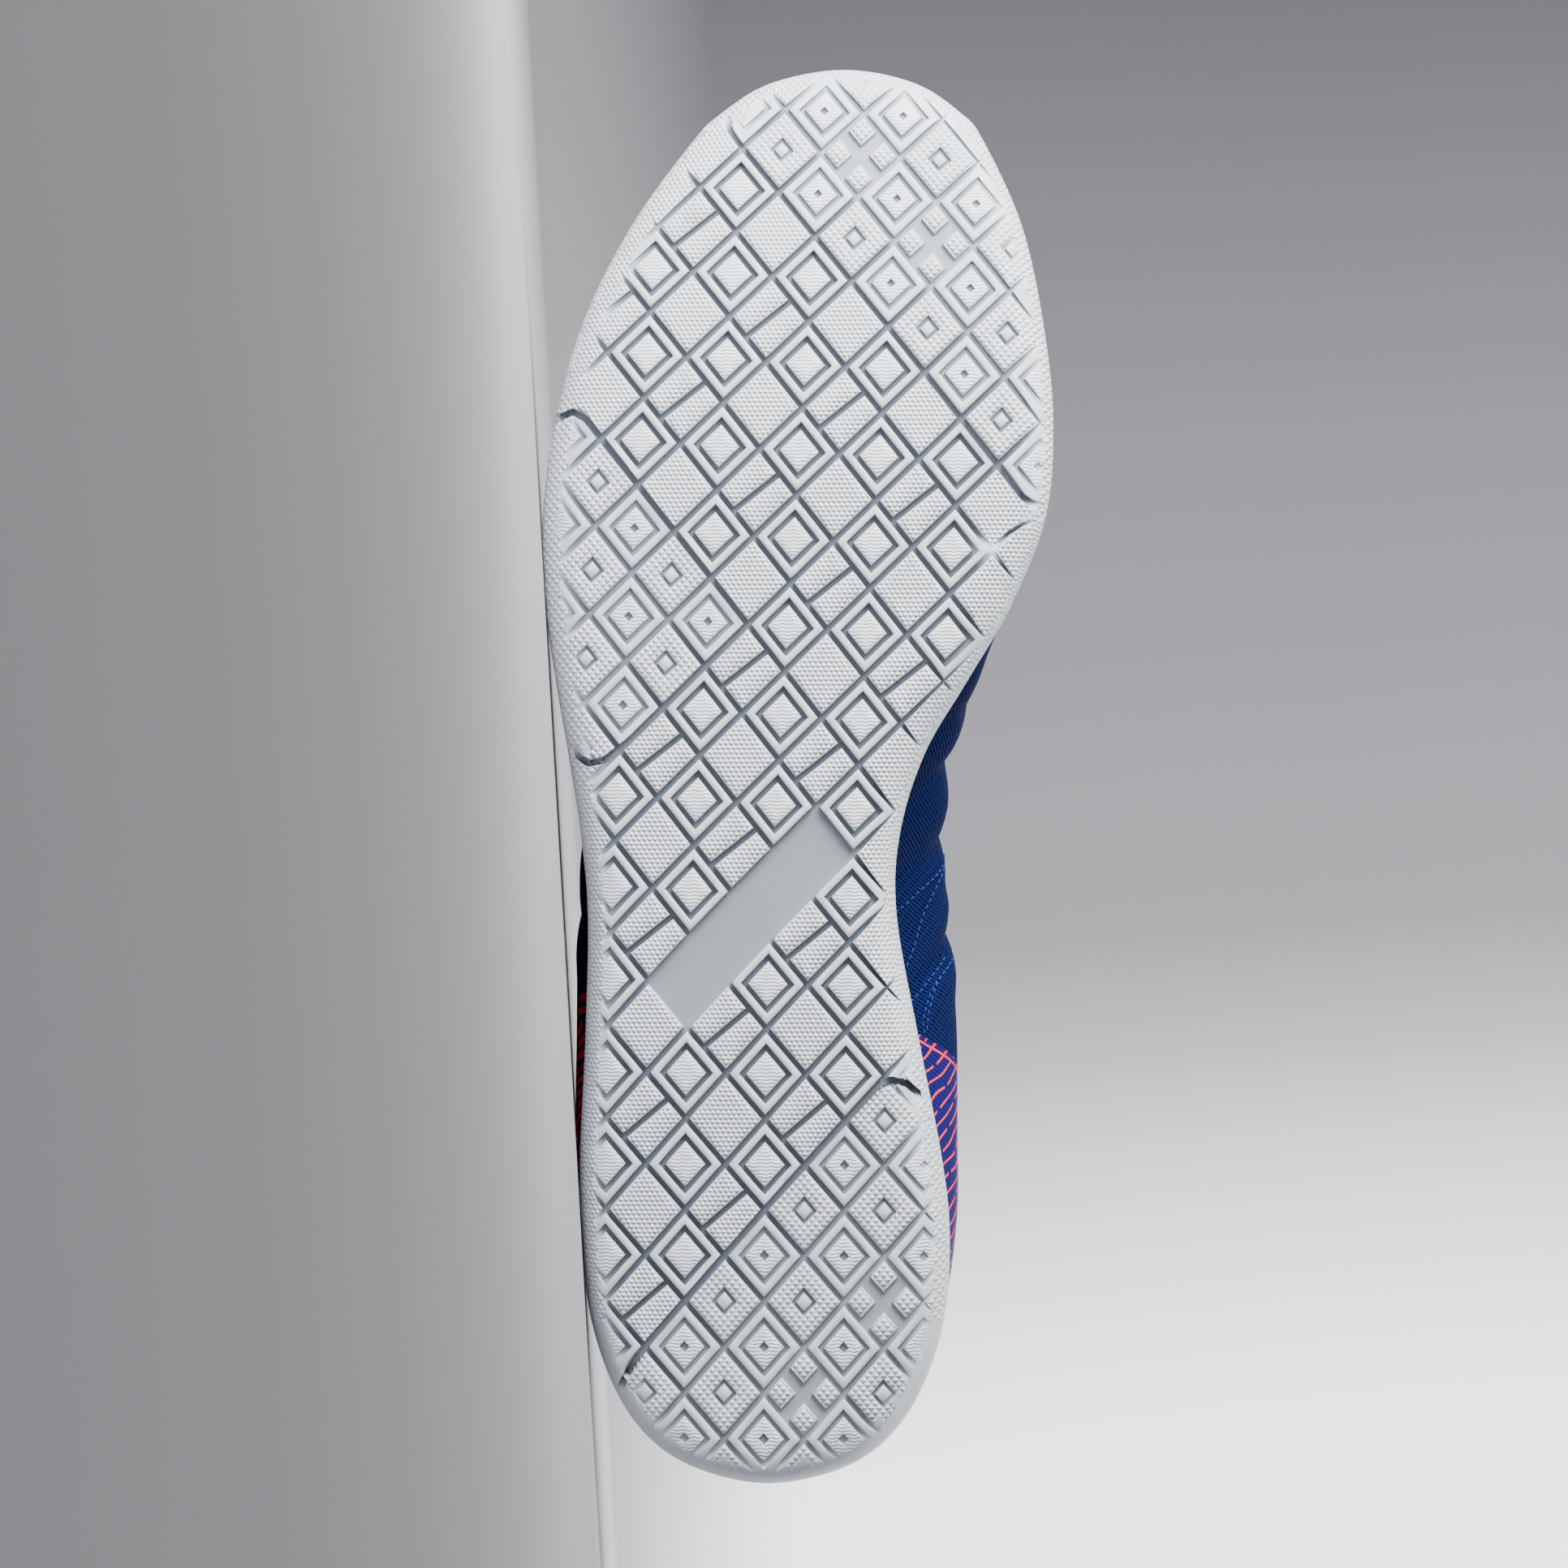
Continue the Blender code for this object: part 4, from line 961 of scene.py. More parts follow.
def narrow_ends(bm, sizes):
    """Draws the sides of the main grooves together towards the outline."""
    half = (sizes.groove_width / 2 + sizes.edge) / (PITCH_ACROSS / math.sqrt(2))
    for v in bm.verts:
        row, inside = nearest_rim(v.co.x, v.co.y)
        least, start, reach = (0.35, 1.5, 6.5) if row.medial else (0.6, 3.0, 4.0)
        kept = least + (1 - least) * smooth((inside / MM - start) / reach)
        if kept > 0.99:
            continue
        old, new = lattice_place(v.co), []
        for place in old:
            line = round(place - 0.5) + 0.5
            off = place - line
            new.append(line + off * (kept + (1 - kept) * smooth((abs(off) - half) / (2 * half))))
        v.co += lattice(*new) - lattice(*old)


def trim_tread(bm):
    """Trims the sheet to a line just inside the outline, and lets the relief fade out towards it."""
    groove_shade = bm.verts.layers.float["groove_shade"]
    inside = {v: nearest_rim(v.co.x, v.co.y)[1] for v in bm.verts}
    split_at(bm, RIM_START, inside)
    bmesh.ops.delete(bm, geom=[v for v in bm.verts if inside[v] < RIM_START - 1e-7], context="VERTS")
    bmesh.ops.delete(bm, geom=[v for v in bm.verts if not v.link_faces], context="VERTS")
    wide = BARE_PANEL | CROSS_CELLS
    for v in bm.verts:
        row, depth = nearest_rim(v.co.x, v.co.y)
        beyond = depth - relief_ends(row.turn, row.medial)
        v.co.z *= smooth(beyond / RELIEF_FADE) * (0.65 + 0.35 * smooth(beyond / RELIEF_SHALLOW))
        m, n = lattice_place(v.co)
        around = {(round(m + a), round(n + b)) for a in (-0.07, 0.07) for b in (-0.07, 0.07)}
        # Painted shade: the grooves darker the deeper they lie, less beside the wide cells and towards the
        # relief's end
        v[groove_shade] = min(1.0, v.co.z / MM) * (0.75 if around & wide else 1.0)
        v[groove_shade] *= 0.5 + 0.5 * smooth(beyond / RELIEF_SHALLOW)
        v.co.z += roll_height(inside[v])
    edge = [v for v in bm.verts if v.is_boundary]
    bmesh.ops.remove_doubles(bm, verts=edge, dist=0.4 * MM)
    for v in bm.verts:
        if v.is_boundary:
            row, _ = nearest_rim(v.co.x, v.co.y)
            v.co = (row.x - row.out_x * RIM_START, row.y - row.out_y * RIM_START, roll_height(RIM_START))
            v[groove_shade] = 0


def carve_zone_groove(bm, places, depth):
    """Carves a wide groove along places on the slanting rows, with walls, a flat floor and shallow ends."""
    groove_shade = bm.verts.layers.float["groove_shade"]
    line = []
    for (m0, n0, h0), (m1, n1, h1) in zip(places, places[1:]):
        steps = max(2, round(4 * math.hypot(m1 - m0, n1 - n0)))
        for k in range(steps):
            s = k / steps
            at = lattice(m0 + (m1 - m0) * s, n0 + (n1 - n0) * s)
            line.append((at.x, at.y, (h0 + (h1 - h0) * s) * MM))
    at = lattice(*places[-1][:2])
    line = np.array([*line, (at.x, at.y, places[-1][2] * MM)])
    run = np.r_[0, np.cumsum(np.hypot(*np.diff(line[:, :2], axis=0).T))]

    def measure(points):
        """(distance outside the groove's edge, distance from the nearer end) for each point."""
        best, way = np.full(len(points), 1.0), np.zeros(len(points))
        for k in range(len(line) - 1):
            a, b = line[k, :2], line[k + 1, :2]
            share = np.clip((points - a) @ (b - a) / ((b - a) @ (b - a)), 0, 1)
            gap = np.hypot(*(points - a - share[:, None] * (b - a)).T)
            gap -= line[k, 2] + share * (line[k + 1, 2] - line[k, 2])
            closer = gap < best
            best[closer] = gap[closer]
            way[closer] = (run[k] + share * (run[k + 1] - run[k]))[closer]
        return best, np.minimum(way, run[-1] - way)

    # Smaller faces where the groove leaves the rows
    for _ in range(3):
        verts = list(bm.verts)
        best, way = measure(np.array([v.co[:2] for v in verts]))
        close = {v for v, gap, far in zip(verts, best, way) if gap < 1.3 * MM and far < CURL_LENGTH}
        long = [e for e in bm.edges if e.calc_length() > 0.6 * MM and not close.isdisjoint(e.verts)]
        bmesh.ops.subdivide_edges(bm, edges=long, cuts=1, use_grid_fill=True)
    verts = list(bm.verts)
    best, _ = measure(np.array([v.co[:2] for v in verts]))
    field = dict(zip(verts, best.tolist()))
    split_at(bm, 0.0, field)
    split_at(bm, -ZONE_WALL, field)
    near = [v for v in bm.verts if field[v] < CURL_CLEAR]
    _, from_end = measure(np.array([v.co[:2] for v in near]))
    for v, way in zip(near, from_end):
        base = roll_height(nearest_rim(v.co.x, v.co.y)[1])
        # The rows' own cuts stop short of the groove's curled ends
        beside = smooth(field[v] / CURL_CLEAR)
        kept = beside + (1 - beside) * smooth(way / (9 * MM) - 0.2)
        v.co.z = base + (v.co.z - base) * kept
        # Their painted groove shade fades the same way
        v[groove_shade] *= kept
        if field[v] < 0:
            share, end = min(1.0, -field[v] / ZONE_WALL), smooth(way / CURL_SHALLOW)
            v.co.z += (base + depth * end - v.co.z) * share
            # Painted shade on the zone groove's floor, lighter towards its shallow ends
            v[groove_shade] += (0.3 * end + 0.7 * end * end - v[groove_shade]) * share


def roll_height(inside):
    """How far the sole's rounded edge has risen at a distance inside the outline."""
    share = min(1.0, max(0.0, inside / ROLL_WIDTH))
    return ROLL_HEIGHT * (1 - math.sqrt(max(0.0, 1 - (1 - share) ** 2)))


def rim_profile():
    """(inset, height or None, depth below the lip) for each loop from the tread's edge into the cup."""
    loops = []
    for k in range(1, 7):
        inset = RIM_START * (1 - k / 6) ** 1.8
        loops.append((inset, roll_height(inset), None))
    channel, depth = CHANNEL_BELOW_LIP, 0.9 * MM
    loops += [
        (0.0, None, channel + 4.6 * MM),
        (0.35 * MM, None, channel + 4.3 * MM),
        (0.35 * MM, None, channel + 3.9 * MM),
        (0.0, None, channel + 3.6 * MM),
        (0.0, None, channel + 1.4 * MM),
        (0.25 * MM, None, channel + 1.15 * MM),
        (depth, None, channel + 0.95 * MM),
        (depth, None, channel + 0.25 * MM),
        (0.25 * MM, None, channel + 0.05 * MM),
        (0.0, None, channel - 0.2 * MM),
        (0.0, None, 1.5 * MM),
        (0.15 * MM, None, 0.8 * MM),
        (0.5 * MM, None, 0.25 * MM),
        (1.1 * MM, None, 0.0),
        (SIDEWALL - 0.4 * MM, None, 0.0),
        (SIDEWALL, None, 0.4 * MM),
    ]
    return loops


def raise_rim(bm):
    """Draws the sheet's edge round the roll and up the side wall, over the lip and down into the well."""
    edges = [e for e in bm.edges if e.is_boundary]
    rows = {v: nearest_rim(v.co.x, v.co.y)[0] for e in edges for v in e.verts}
    for inset, height, below in [*rim_profile(), (SIDEWALL, SOLE_THICKNESS, None)]:
        known = {tuple(v.co): row for v, row in rows.items()}
        made = bmesh.ops.extrude_edge_only(bm, edges=edges)["geom"]
        edges = [g for g in made if isinstance(g, bmesh.types.BMEdge)]
        rows = {g: known[tuple(g.co)] for g in made if isinstance(g, bmesh.types.BMVert)}
        for v, row in rows.items():
            z = height if below is None else lip_height(row.turn) - below
            v.co = Vector((row.x - row.out_x * inset, row.y - row.out_y * inset, z))
    bmesh.ops.holes_fill(bm, edges=edges)


class SHOE_OT_outsole(bpy.types.Operator):
    """Moulds the cup sole with its diamond tread"""

    bl_idname = "shoe.outsole"
    bl_label = "Outsole"

    def execute(self, context):
        sizes = context.scene.tread_sizes
        panel = 0.75 * sizes.groove_depth
        bm, cells = lattice_sheet(
            lambda c: sizes.zone_depth if in_zone(*c) else panel if c in BARE_PANEL else sizes.groove_depth
        )
        carve_tread(bm, cells, sizes)
        refine(bm, 2.4 * MM, lambda e: True)
        near = {v: nearest_rim(v.co.x, v.co.y)[1] for v in bm.verts}
        refine(bm, 1.2 * MM, lambda e: any(-0.5 * MM < near.get(v, -1) < 5.5 * MM for v in e.verts))
        narrow_ends(bm, sizes)
        trim_tread(bm)
        for places in ZONE_GROOVES.values():
            carve_zone_groove(bm, places, sizes.groove_depth)
        raise_rim(bm)
        finish = bm.faces.layers.int["finish"]
        sole, lines = bm.loops.layers.uv.new("sole"), bm.loops.layers.uv.new("cells")
        for face in bm.faces:
            middle = face.calc_center_median()
            row, rim = nearest_rim(middle.x, middle.y)
            on_side = rim < RIM_START
            if rim < relief_ends(row.turn, row.medial) + 0.6 * MM and middle.z < ROLL_HEIGHT:
                m, n = lattice_place(middle)
                face[finish] = SMOOTH if row.turn < 0.16 else GRIDDED if in_zone(round(m), round(n)) else DOTTED
            if rim > SIDEWALL - 0.3 * MM and middle.z > 0.7 * SOLE_THICKNESS:
                face.material_index = 1
            for loop in face.loops:
                co = loop.vert.co
                loop[sole].uv = (co.x, co.y)
                if on_side:
                    loop[sole].uv = (co.x * abs(row.out_y) + co.y * abs(row.out_x), co.z)
                loop[lines].uv = lattice_place(co)
        bmesh.ops.triangulate(bm, faces=[f for f in bm.faces if len(f.verts) > 4])
        bend(bm)
        bmesh.ops.recalc_face_normals(bm, faces=bm.faces)
        materials = [moulded_rubber(), plain_cloth("felted_lasting_board")]
        finished(bm, "cup_sole", materials, ["outsole"], 50)
        return {"FINISHED"}


def lattice_place(co):
    """The (m, n) of a point of the tread, near enough for a pattern that runs along the rows."""
    x = co.x
    row = (x - FIRST_ROW) / PITCH_ALONG
    for _ in range(3):
        row = (x - FIRST_ROW + PITCH_CLOSING * row * abs(row)) / PITCH_ALONG
    across = (co.y - spine(x)) / PITCH_ACROSS
    slope = (spine(x + MM) - spine(x - MM)) / (2 * MM)
    row += across * PITCH_ACROSS * slope / PITCH_ALONG
    return RING_ORIGIN[1] - row + (across - RING_ORIGIN[0]), RING_ORIGIN[1] - row - (across - RING_ORIGIN[0])


def fold(turn, medial, v):
    """How far the folds stand off the wall, in folds' own depth. Each crease slants down and back."""
    x = outline_at(turn, medial)[0][0]
    height = 0.0
    for row in CREASES:
        crease = dict(zip(CREASE_COLUMNS, row))
        if crease["medial"] != medial:
            continue
        middle = crease["along"] + (v - AT_WIDEST) * crease["slant"]
        across = (x / LENGTH - middle) / crease["width"]
        reach = bump((v - 0.47) / 0.29) ** 0.6
        height -= crease["depth"] * reach * math.exp(-abs(across) * 2.2)
        height += 0.45 * crease["depth"] * reach * (bump(across / 1.6 - 1) + bump(across / 1.6 + 1))
    return height


def film_field(turn, medial, v):
    """How far inside the edge of the printed film a point of the upper lies, in metres."""
    reach, draw, top, drop = FILM[medial]
    along, up = turn * 360 * MM, (v - AT_LIP) * 95 * MM
    return min(reach - draw * up - along, top - drop * along - up)


def pad_at(turn, below):
    """The upper's thickness at a turn and at a distance below its top edge."""
    pad = smooth((COLLAR_ENDS - turn) / 0.08) * smooth((COLLAR_ROLL - below) / (0.5 * COLLAR_ROLL))
    return UPPER_WALL + (COLLAR_PAD - UPPER_WALL) * pad


class SHOE_OT_upper(bpy.types.Operator):
    """Sews the fabric upper with its padded collar"""

    bl_idname = "shoe.upper"
    bl_label = "Upper"

    def execute(self, context):
        sizes = context.scene.upper_sizes
        around = UPPER_AROUND
        rows = UPPER_OUTSIDE + UPPER_EDGE + UPPER_INSIDE + 1
        bm = bmesh.new()
        bmesh.ops.create_grid(bm, x_segments=around, y_segments=rows, size=0.5)
        wall = bm.loops.layers.uv.new("wall")
        film = bm.verts.layers.float.new("film")
        ink = bm.verts.layers.float.new("ink")
        sections, places = {}, {}
        for v in bm.verts:
            column, row = round((v.co.x + 0.5) * around), round((v.co.y + 0.5) * rows)
            places[v] = (column, row)
            turn = 2 * column / around
            medial = turn > 1
            turn = 2 - turn if medial else turn
            key = column % around
            if key not in sections:
                sections[key] = self.section(turn, medial, sizes)
            v.co, _, share = sections[key][row % rows]
            v[film] = film_field(turn, medial, share) if row <= UPPER_OUTSIDE else -1 * MM
            v[ink] = LINE_WIDTH[medial]
        for face in bm.faces:
            if min(places[v][1] for v in face.verts) >= UPPER_OUTSIDE + UPPER_EDGE - 1:
                face.material_index = 1
            for loop in face.loops:
                column, row = places[loop.vert]
                up = sections[column % around][row][1] if row < rows else -2 * MM
                loop[wall].uv = (column / around * 720 * MM, up)
        bmesh.ops.remove_doubles(bm, verts=bm.verts, dist=1e-6)
        bend(bm)
        bmesh.ops.recalc_face_normals(bm, faces=bm.faces)
        materials = [woven_fabric(), plain_cloth("knitted_lining")]
        finished(bm, "fabric_upper", materials, ["upper"], 80)
        return {"FINISHED"}

    def section(self, turn, medial, sizes):
        """The upper's section at one turn, up its face, over its edge and down inside: (point, way up, v)."""
        points, face, up = [], [], 0.0
        for k in range(UPPER_OUTSIDE + 1):
            share = k / UPPER_OUTSIDE
            p, n = wall_point(turn, medial, share), wall_normal(turn, medial, share)
            if face:
                up += (p - face[-1][0]).length
            face.append((p, n, share, up))
        total = up
        for p, n, share, up in face:
            raised = sizes.folds * fold(turn, medial, share)
            thick = pad_at(turn, total - up)
            puff = COLLAR_PUFF * smooth((thick - UPPER_WALL) / (COLLAR_PAD - UPPER_WALL))
            puff *= bump((total - up - 7 * MM) / (8 * MM))
            points.append((p + n * (raised + puff), up, share))
        half = pad_at(turn, 0) / 2
        rise = (face[-1][0] - face[-2][0]).normalized()
        for k in range(1, UPPER_EDGE + 1):
            angle = math.pi * k / (UPPER_EDGE + 1)
            over = n * (math.cos(angle) - 1) * half + rise * math.sin(angle) * min(half, 1.6 * MM)
            points.append((p + over, up + k * 0.4 * MM, 1.0))
        for k in range(UPPER_INSIDE + 1):
            share = 1 - k / UPPER_INSIDE
            down = total * (1 - share)
            inside = wall_point(turn, medial, share) - wall_normal(turn, medial, share) * pad_at(turn, down)
            points.append((inside, total + 4 * MM + down, share))
        return points


def under_wall(turn, medial, v, clearance):
    """A point that clearance below the upper's inner face."""
    return wall_point(turn, medial, v) - wall_normal(turn, medial, v) * (UPPER_WALL + clearance)


def strip_places(count, first, last):
    """Turns and sides from a place on the lateral throat, round its bottom, to the medial one's."""
    half = count // 2
    down = [(first + (last - first) * k / half, False) for k in range(half + 1)]
    return down + [(turn, True) for turn, _ in down[-2::-1]]


def add_grid(bm, columns, rows, place):
    """Adds a grid whose corners are put where place(column, row) says, and gives its corners."""
    made = bmesh.ops.create_grid(bm, x_segments=columns, y_segments=rows, size=0.5)["verts"]
    for v in made:
        v.co = place(round((v.co.x + 0.5) * columns), round((v.co.y + 0.5) * rows))
    return made


def thickened(bm, depth, name, materials, replaced, bevel=0.3 * MM):
    """Closes a sheet to a solid of that thickness, rounds its edges and finishes it."""
    bm.normal_update()
    bmesh.ops.solidify(bm, geom=bm.faces[:], thickness=depth)
    bmesh.ops.recalc_face_normals(bm, faces=bm.faces)
    sharp = [e for e in bm.edges if len(e.link_faces) == 2 and e.calc_face_angle() > math.radians(50)]
    bmesh.ops.bevel(bm, geom=sharp, offset=bevel, segments=2, profile=0.5, affect="EDGES", material=-1)
    bmesh.ops.recalc_face_normals(bm, faces=bm.faces)
    return finished(bm, name, materials, replaced)


class SHOE_OT_eyestay(bpy.types.Operator):
    """Lays the reinforcement round the throat, with its eyelets"""

    bl_idname = "shoe.eyestay"
    bl_label = "Eyestay"

    def execute(self, context):
        places = strip_places(110, EYESTAY_FROM, 1.0)
        lows = [depth_below_top(t, m, EYESTAY_DEPTH) for t, m in places]

        def place(column, row):
            turn, medial = places[column]
            v = lows[column] + (0.995 - lows[column]) * row / 8
            return bent(wall_point(turn, medial, v) + wall_normal(turn, medial, v) * EYESTAY_OVER)

        bm = bmesh.new()
        add_grid(bm, len(places) - 1, 8, place)
        cloth = [plain_cloth("matt_synthetic_eyestay")]
        thickened(bm, 1.0 * MM, "eyestay_band", cloth, ["eyestay"])
        # Painted metal: a hard blue shine, dulled in patches where the lace rubs
        ring, node, shade = new_material("painted_metal_eyelet")
        worn = node("TexNoise", node("TexCoord", out="Object"), in_Scale=1 / (1.5 * MM), in_Detail=2.0)
        shade({
            "Base Color": node("Mix", worn, in_6=linear("#0f1d5e"), in_7=linear("#1b2f86"), **COLOURS),
            "Roughness": node("Math MULTIPLY_ADD", worn, 0.3, 0.2),
        })
        bm = bmesh.new()
        for row in range(LACE_ROWS):
            for medial in (False, True):
                self.eyelet(bm, row, medial)
        finished(bm, "eyelet_rings", [ring])
        return {"FINISHED"}

    def eyelet(self, bm, row, medial):
        """A small rounded ring, pressed on the eyestay."""
        turn = lace_turn(row)
        v = depth_below_top(turn, medial, EYELET_DEPTH)
        normal = wall_normal(turn, medial, v)
        centre = bent(wall_point(turn, medial, v) + normal * (EYESTAY_OVER + 0.15 * MM))
        side = normal.orthogonal().normalized()
        profile = []
        for k in range(6):
            angle = 2 * math.pi * k / 6
            profile.append(bm.verts.new(centre + side * (2.5 + 0.8 * math.cos(angle)) * MM
                                        + normal * 0.45 * math.sin(angle) * MM))
        edges = [bm.edges.new((profile[k], profile[(k + 1) % 6])) for k in range(6)]
        bmesh.ops.spin(bm, geom=[*profile, *edges], cent=centre, axis=normal, dvec=(0, 0, 0),
                       angle=2 * math.pi, steps=20, use_merge=True)
        bmesh.ops.recalc_face_normals(bm, faces=bm.faces)


def lace_turn(row):
    """The turn at which a row of eyelets stands, counted from the throat's bottom."""
    return LACE_FIRST_TURN + (LACE_LAST_TURN - LACE_FIRST_TURN) * row / (LACE_ROWS - 1)


def tongue_line(turn):
    """Five places across the tongue's outer face at this turn, from the lateral to the medial edge."""
    clearance = 2 * GAP
    edge = [under_wall(turn, medial, AT_THROAT, clearance) for medial in (False, True)]
    deep = []
    for medial in (False, True):
        deep.append(under_wall(turn, medial, depth_below_top(turn, medial, TONGUE_TUCK), clearance))
    crown = (edge[0] + edge[1]) / 2
    crown.z += TONGUE_CROWN * smooth((0.92 - turn) / 0.12)
    return [deep[0], edge[0], crown, edge[1], deep[1]]


def through(points, share):
    """A point on a smooth open line through the points, at a share of the way."""
    at = share * (len(points) - 1)
    k = min(int(at), len(points) - 2)
    s = at - k
    p1, p2 = points[k], points[k + 1]
    p0 = points[k - 1] if k else p1 * 2 - p2
    p3 = points[k + 2] if k + 2 < len(points) else p2 * 2 - p1
    bow, twist = 2 * p0 - 5 * p1 + 4 * p2 - p3, 3 * p1 - p0 - 3 * p2 + p3
    return 0.5 * (2 * p1 + (p2 - p0) * s + bow * s**2 + twist * s**3)


class SHOE_OT_tongue(bpy.types.Operator):
    """Makes the padded tongue and lays the insole's cloth"""

    bl_idname = "shoe.tongue"
    bl_label = "Tongue and insole"

    def execute(self, context):
        turns = [TONGUE_FROM + (TONGUE_TO - TONGUE_FROM) * k / 8 for k in range(9)]
        lines = [[bent(p) for p in tongue_line(turn)] for turn in turns]
        rise = (lines[-1][2] - lines[-2][2]).normalized()
        for share in (0.35, 0.7, 1.0):
            narrowing = 1 - 0.3 * share**0.8
            centre = lines[8][2] + rise * TONGUE_ABOVE_THROAT * share
            lines.append([centre + (p - lines[8][2]) * narrowing for p in lines[8]])
        columns, rows = 32, 60

        def place(column, row):
            across = [through(line, column / columns) for line in lines]
            p = through(across, row / rows)
            corner = max(0.0, abs(column / columns - 0.5) - 0.25) / 0.25
            return p - rise * 5 * MM * corner**2 * smooth((row / rows - 0.85) / 0.15)

        bm = bmesh.new()
        add_grid(bm, columns, rows, place)
        bm.normal_update()
        if sum((f.normal for f in bm.faces), Vector()).z < 0:
            bmesh.ops.reverse_faces(bm, faces=bm.faces)
            bm.normal_update()
        self.pad(bm, TONGUE_THICKNESS)
        tongue = finished(bm, "padded_tongue", [plain_cloth("knitted_tongue")], ["tongue"], 60)
        insole = frame["nodes"]["insole"]
        insole.data.materials.clear()
        insole.data.materials.append(plain_cloth("brushed_sock_lining"))
        return {"FINISHED"}

    def pad(self, bm, thickness):
        """Fills a sheet out to a soft pad below it, thin at its edge, with a sewn channel inside the edge."""
        rim = [v.co.copy() for v in bm.verts if v.is_boundary]
        tree = KDTree(len(rim))
        for k, co in enumerate(rim):
            tree.insert(co, k)
        tree.balance()
        swell = {}
        for v in bm.verts:
            away = tree.find(v.co)[2]
            round_edge = math.sqrt(max(0.0, 1 - max(0.0, 1 - away / (0.5 * thickness)) ** 2))
            swell[v] = thickness / 2 * round_edge * (1 - 0.45 * bump((away - 6 * MM) / (1.6 * MM)))
        made = bmesh.ops.duplicate(bm, geom=bm.faces[:])
        twins = {v: made["vert_map"][v] for v in swell}
        under = [f for f in made["geom"] if isinstance(f, bmesh.types.BMFace)]
        normals = {v: v.normal.copy() for v in swell}
        for v, high in swell.items():
            middle = v.co - normals[v] * thickness / 2
            v.co = middle + normals[v] * high
            twins[v].co = middle - normals[v] * high
        bmesh.ops.reverse_faces(bm, faces=under)
        bmesh.ops.remove_doubles(bm, verts=bm.verts, dist=1e-6)
        bmesh.ops.recalc_face_normals(bm, faces=bm.faces)


def throat_normal(turn):
    """Which way the tongue faces between the throat's edges at this turn."""
    return (wall_normal(turn, False, AT_THROAT) + wall_normal(turn, True, AT_THROAT)).normalized()


def over_tongue(row, medial, inwards, above):
    """A point above the tongue, that far inwards of the throat's edge."""
    turn = lace_turn(row)
    edge = under_wall(turn, medial, AT_THROAT, 0)
    other = under_wall(turn, not medial, AT_THROAT, 0)
    return edge + (other - edge).normalized() * inwards + throat_normal(turn) * above


def on_eyestay(row, medial, depth, above):
    """(point, normal) above the eyestay, that far below the throat's edge."""
    turn = lace_turn(row)
    v = 0.99 if depth <= 0 else depth_below_top(turn, medial, depth)
    normal = wall_normal(turn, medial, v)
    return wall_point(turn, medial, v) + normal * (EYESTAY_OVER + above), normal


class SHOE_OT_laces(bpy.types.Operator):
    """Threads the flat lace through the eyelets"""

    bl_idname = "shoe.laces"
    bl_label = "Laces"

    def execute(self, context):
        width = context.scene.upper_sizes.lace_width
        cloth = [plain_cloth("flat_woven_lace")]
        bm = bmesh.new()
        up = throat_normal(lace_turn(0))
        middle = (over_tongue(0, False, 0, 3.6 * MM) + over_tongue(0, True, 0, 3.6 * MM)) / 2
        self.band(bm, [*self.end(0, False)[::-1], (middle, up), *self.end(0, True)], width)
        finished(bm, "lace_first_bar", cloth, ["lace_bar"])
        for row in range(LACE_ROWS - 1):
            bm = bmesh.new()
            for medial in (False, True):
                self.half(bm, row, medial, width)
            finished(bm, f"lace_crossing_{row + 1}", cloth, [f"lace_cross_{row + 1}"])
        return {"FINISHED"}

    def end(self, row, medial):
        """The lace's way from the throat's edge over the eyestay and down into its eyelet."""
        turn = lace_turn(row)
        inside = over_tongue(row, medial, 2.4 * MM, 3.9 * MM)
        edge = on_eyestay(row, medial, 0, 0.9 * MM)
        half = on_eyestay(row, medial, 4 * MM, 0.85 * MM)
        near = on_eyestay(row, medial, 6.4 * MM, 1.0 * MM)
        hole = on_eyestay(row, medial, EYELET_DEPTH, 0.2 * MM)
        deep = on_eyestay(row, medial, EYELET_DEPTH + 0.4 * MM, -0.9 * MM)
        return [(inside, throat_normal(turn)), edge, half, near, hole, deep]

    def half(self, bm, row, medial, width):
        """Half of a crossing, from under the throat's edge to the next row's far eyelet."""
        start = over_tongue(row + 0.2, medial, -1.5 * MM, -0.1 * MM)
        first = over_tongue(row + 0.25, medial, 3.0 * MM, 1.3 * MM)
        turn = lace_turn(row + 0.5)
        up = throat_normal(turn)
        middle = (over_tongue(row + 0.5, False, 0, 0) + over_tongue(row + 0.5, True, 0, 0)) / 2
        middle += up * (TONGUE_CROWN + (2.1 if medial else 1.0) * MM)
        self.band(bm, [(start, up), (first, up), (middle, up), *self.end(row + 1, not medial)], width)

    def band(self, bm, path, width):
        """A flat lace along (point, normal) pairs, narrowing where it dives into an eyelet."""
        points, normals = [p for p, _ in path], [n for _, n in path]
        steps = 8 * (len(path) - 1)

        @functools.cache
        def section(k):
            """The lace's middle at a step, with its half width and half thickness as vectors."""
            share = k / steps
            ahead = through(points, min(1, share + 0.01)) - through(points, max(0, share - 0.01))
            side = ahead.cross(through(normals, share)).normalized()
            normal = side.cross(ahead).normalized()
            from_end = min(k, steps - k) if len(path) > 10 else steps - k
            gather = 0.52 + 0.48 * smooth(from_end / 14)
            half = LACE_HALF_THICKNESS * (1 + 0.8 * (1 - gather))
            return through(points, share), side * width / 2 * gather, normal * half

        def place(column, row):
            middle, side, normal = section(row)
            angle = 2 * math.pi * (column % LACE_SIDES) / LACE_SIDES
            across = math.copysign(abs(math.cos(angle)) ** 0.45, math.cos(angle))
            return bent(middle + side * across + normal * math.sin(angle))

        made = add_grid(bm, LACE_SIDES, steps, place)
        bmesh.ops.remove_doubles(bm, verts=made, dist=1e-6)
        bmesh.ops.holes_fill(bm, edges=[e for e in bm.edges if e.is_boundary])
        bmesh.ops.recalc_face_normals(bm, faces=bm.faces)


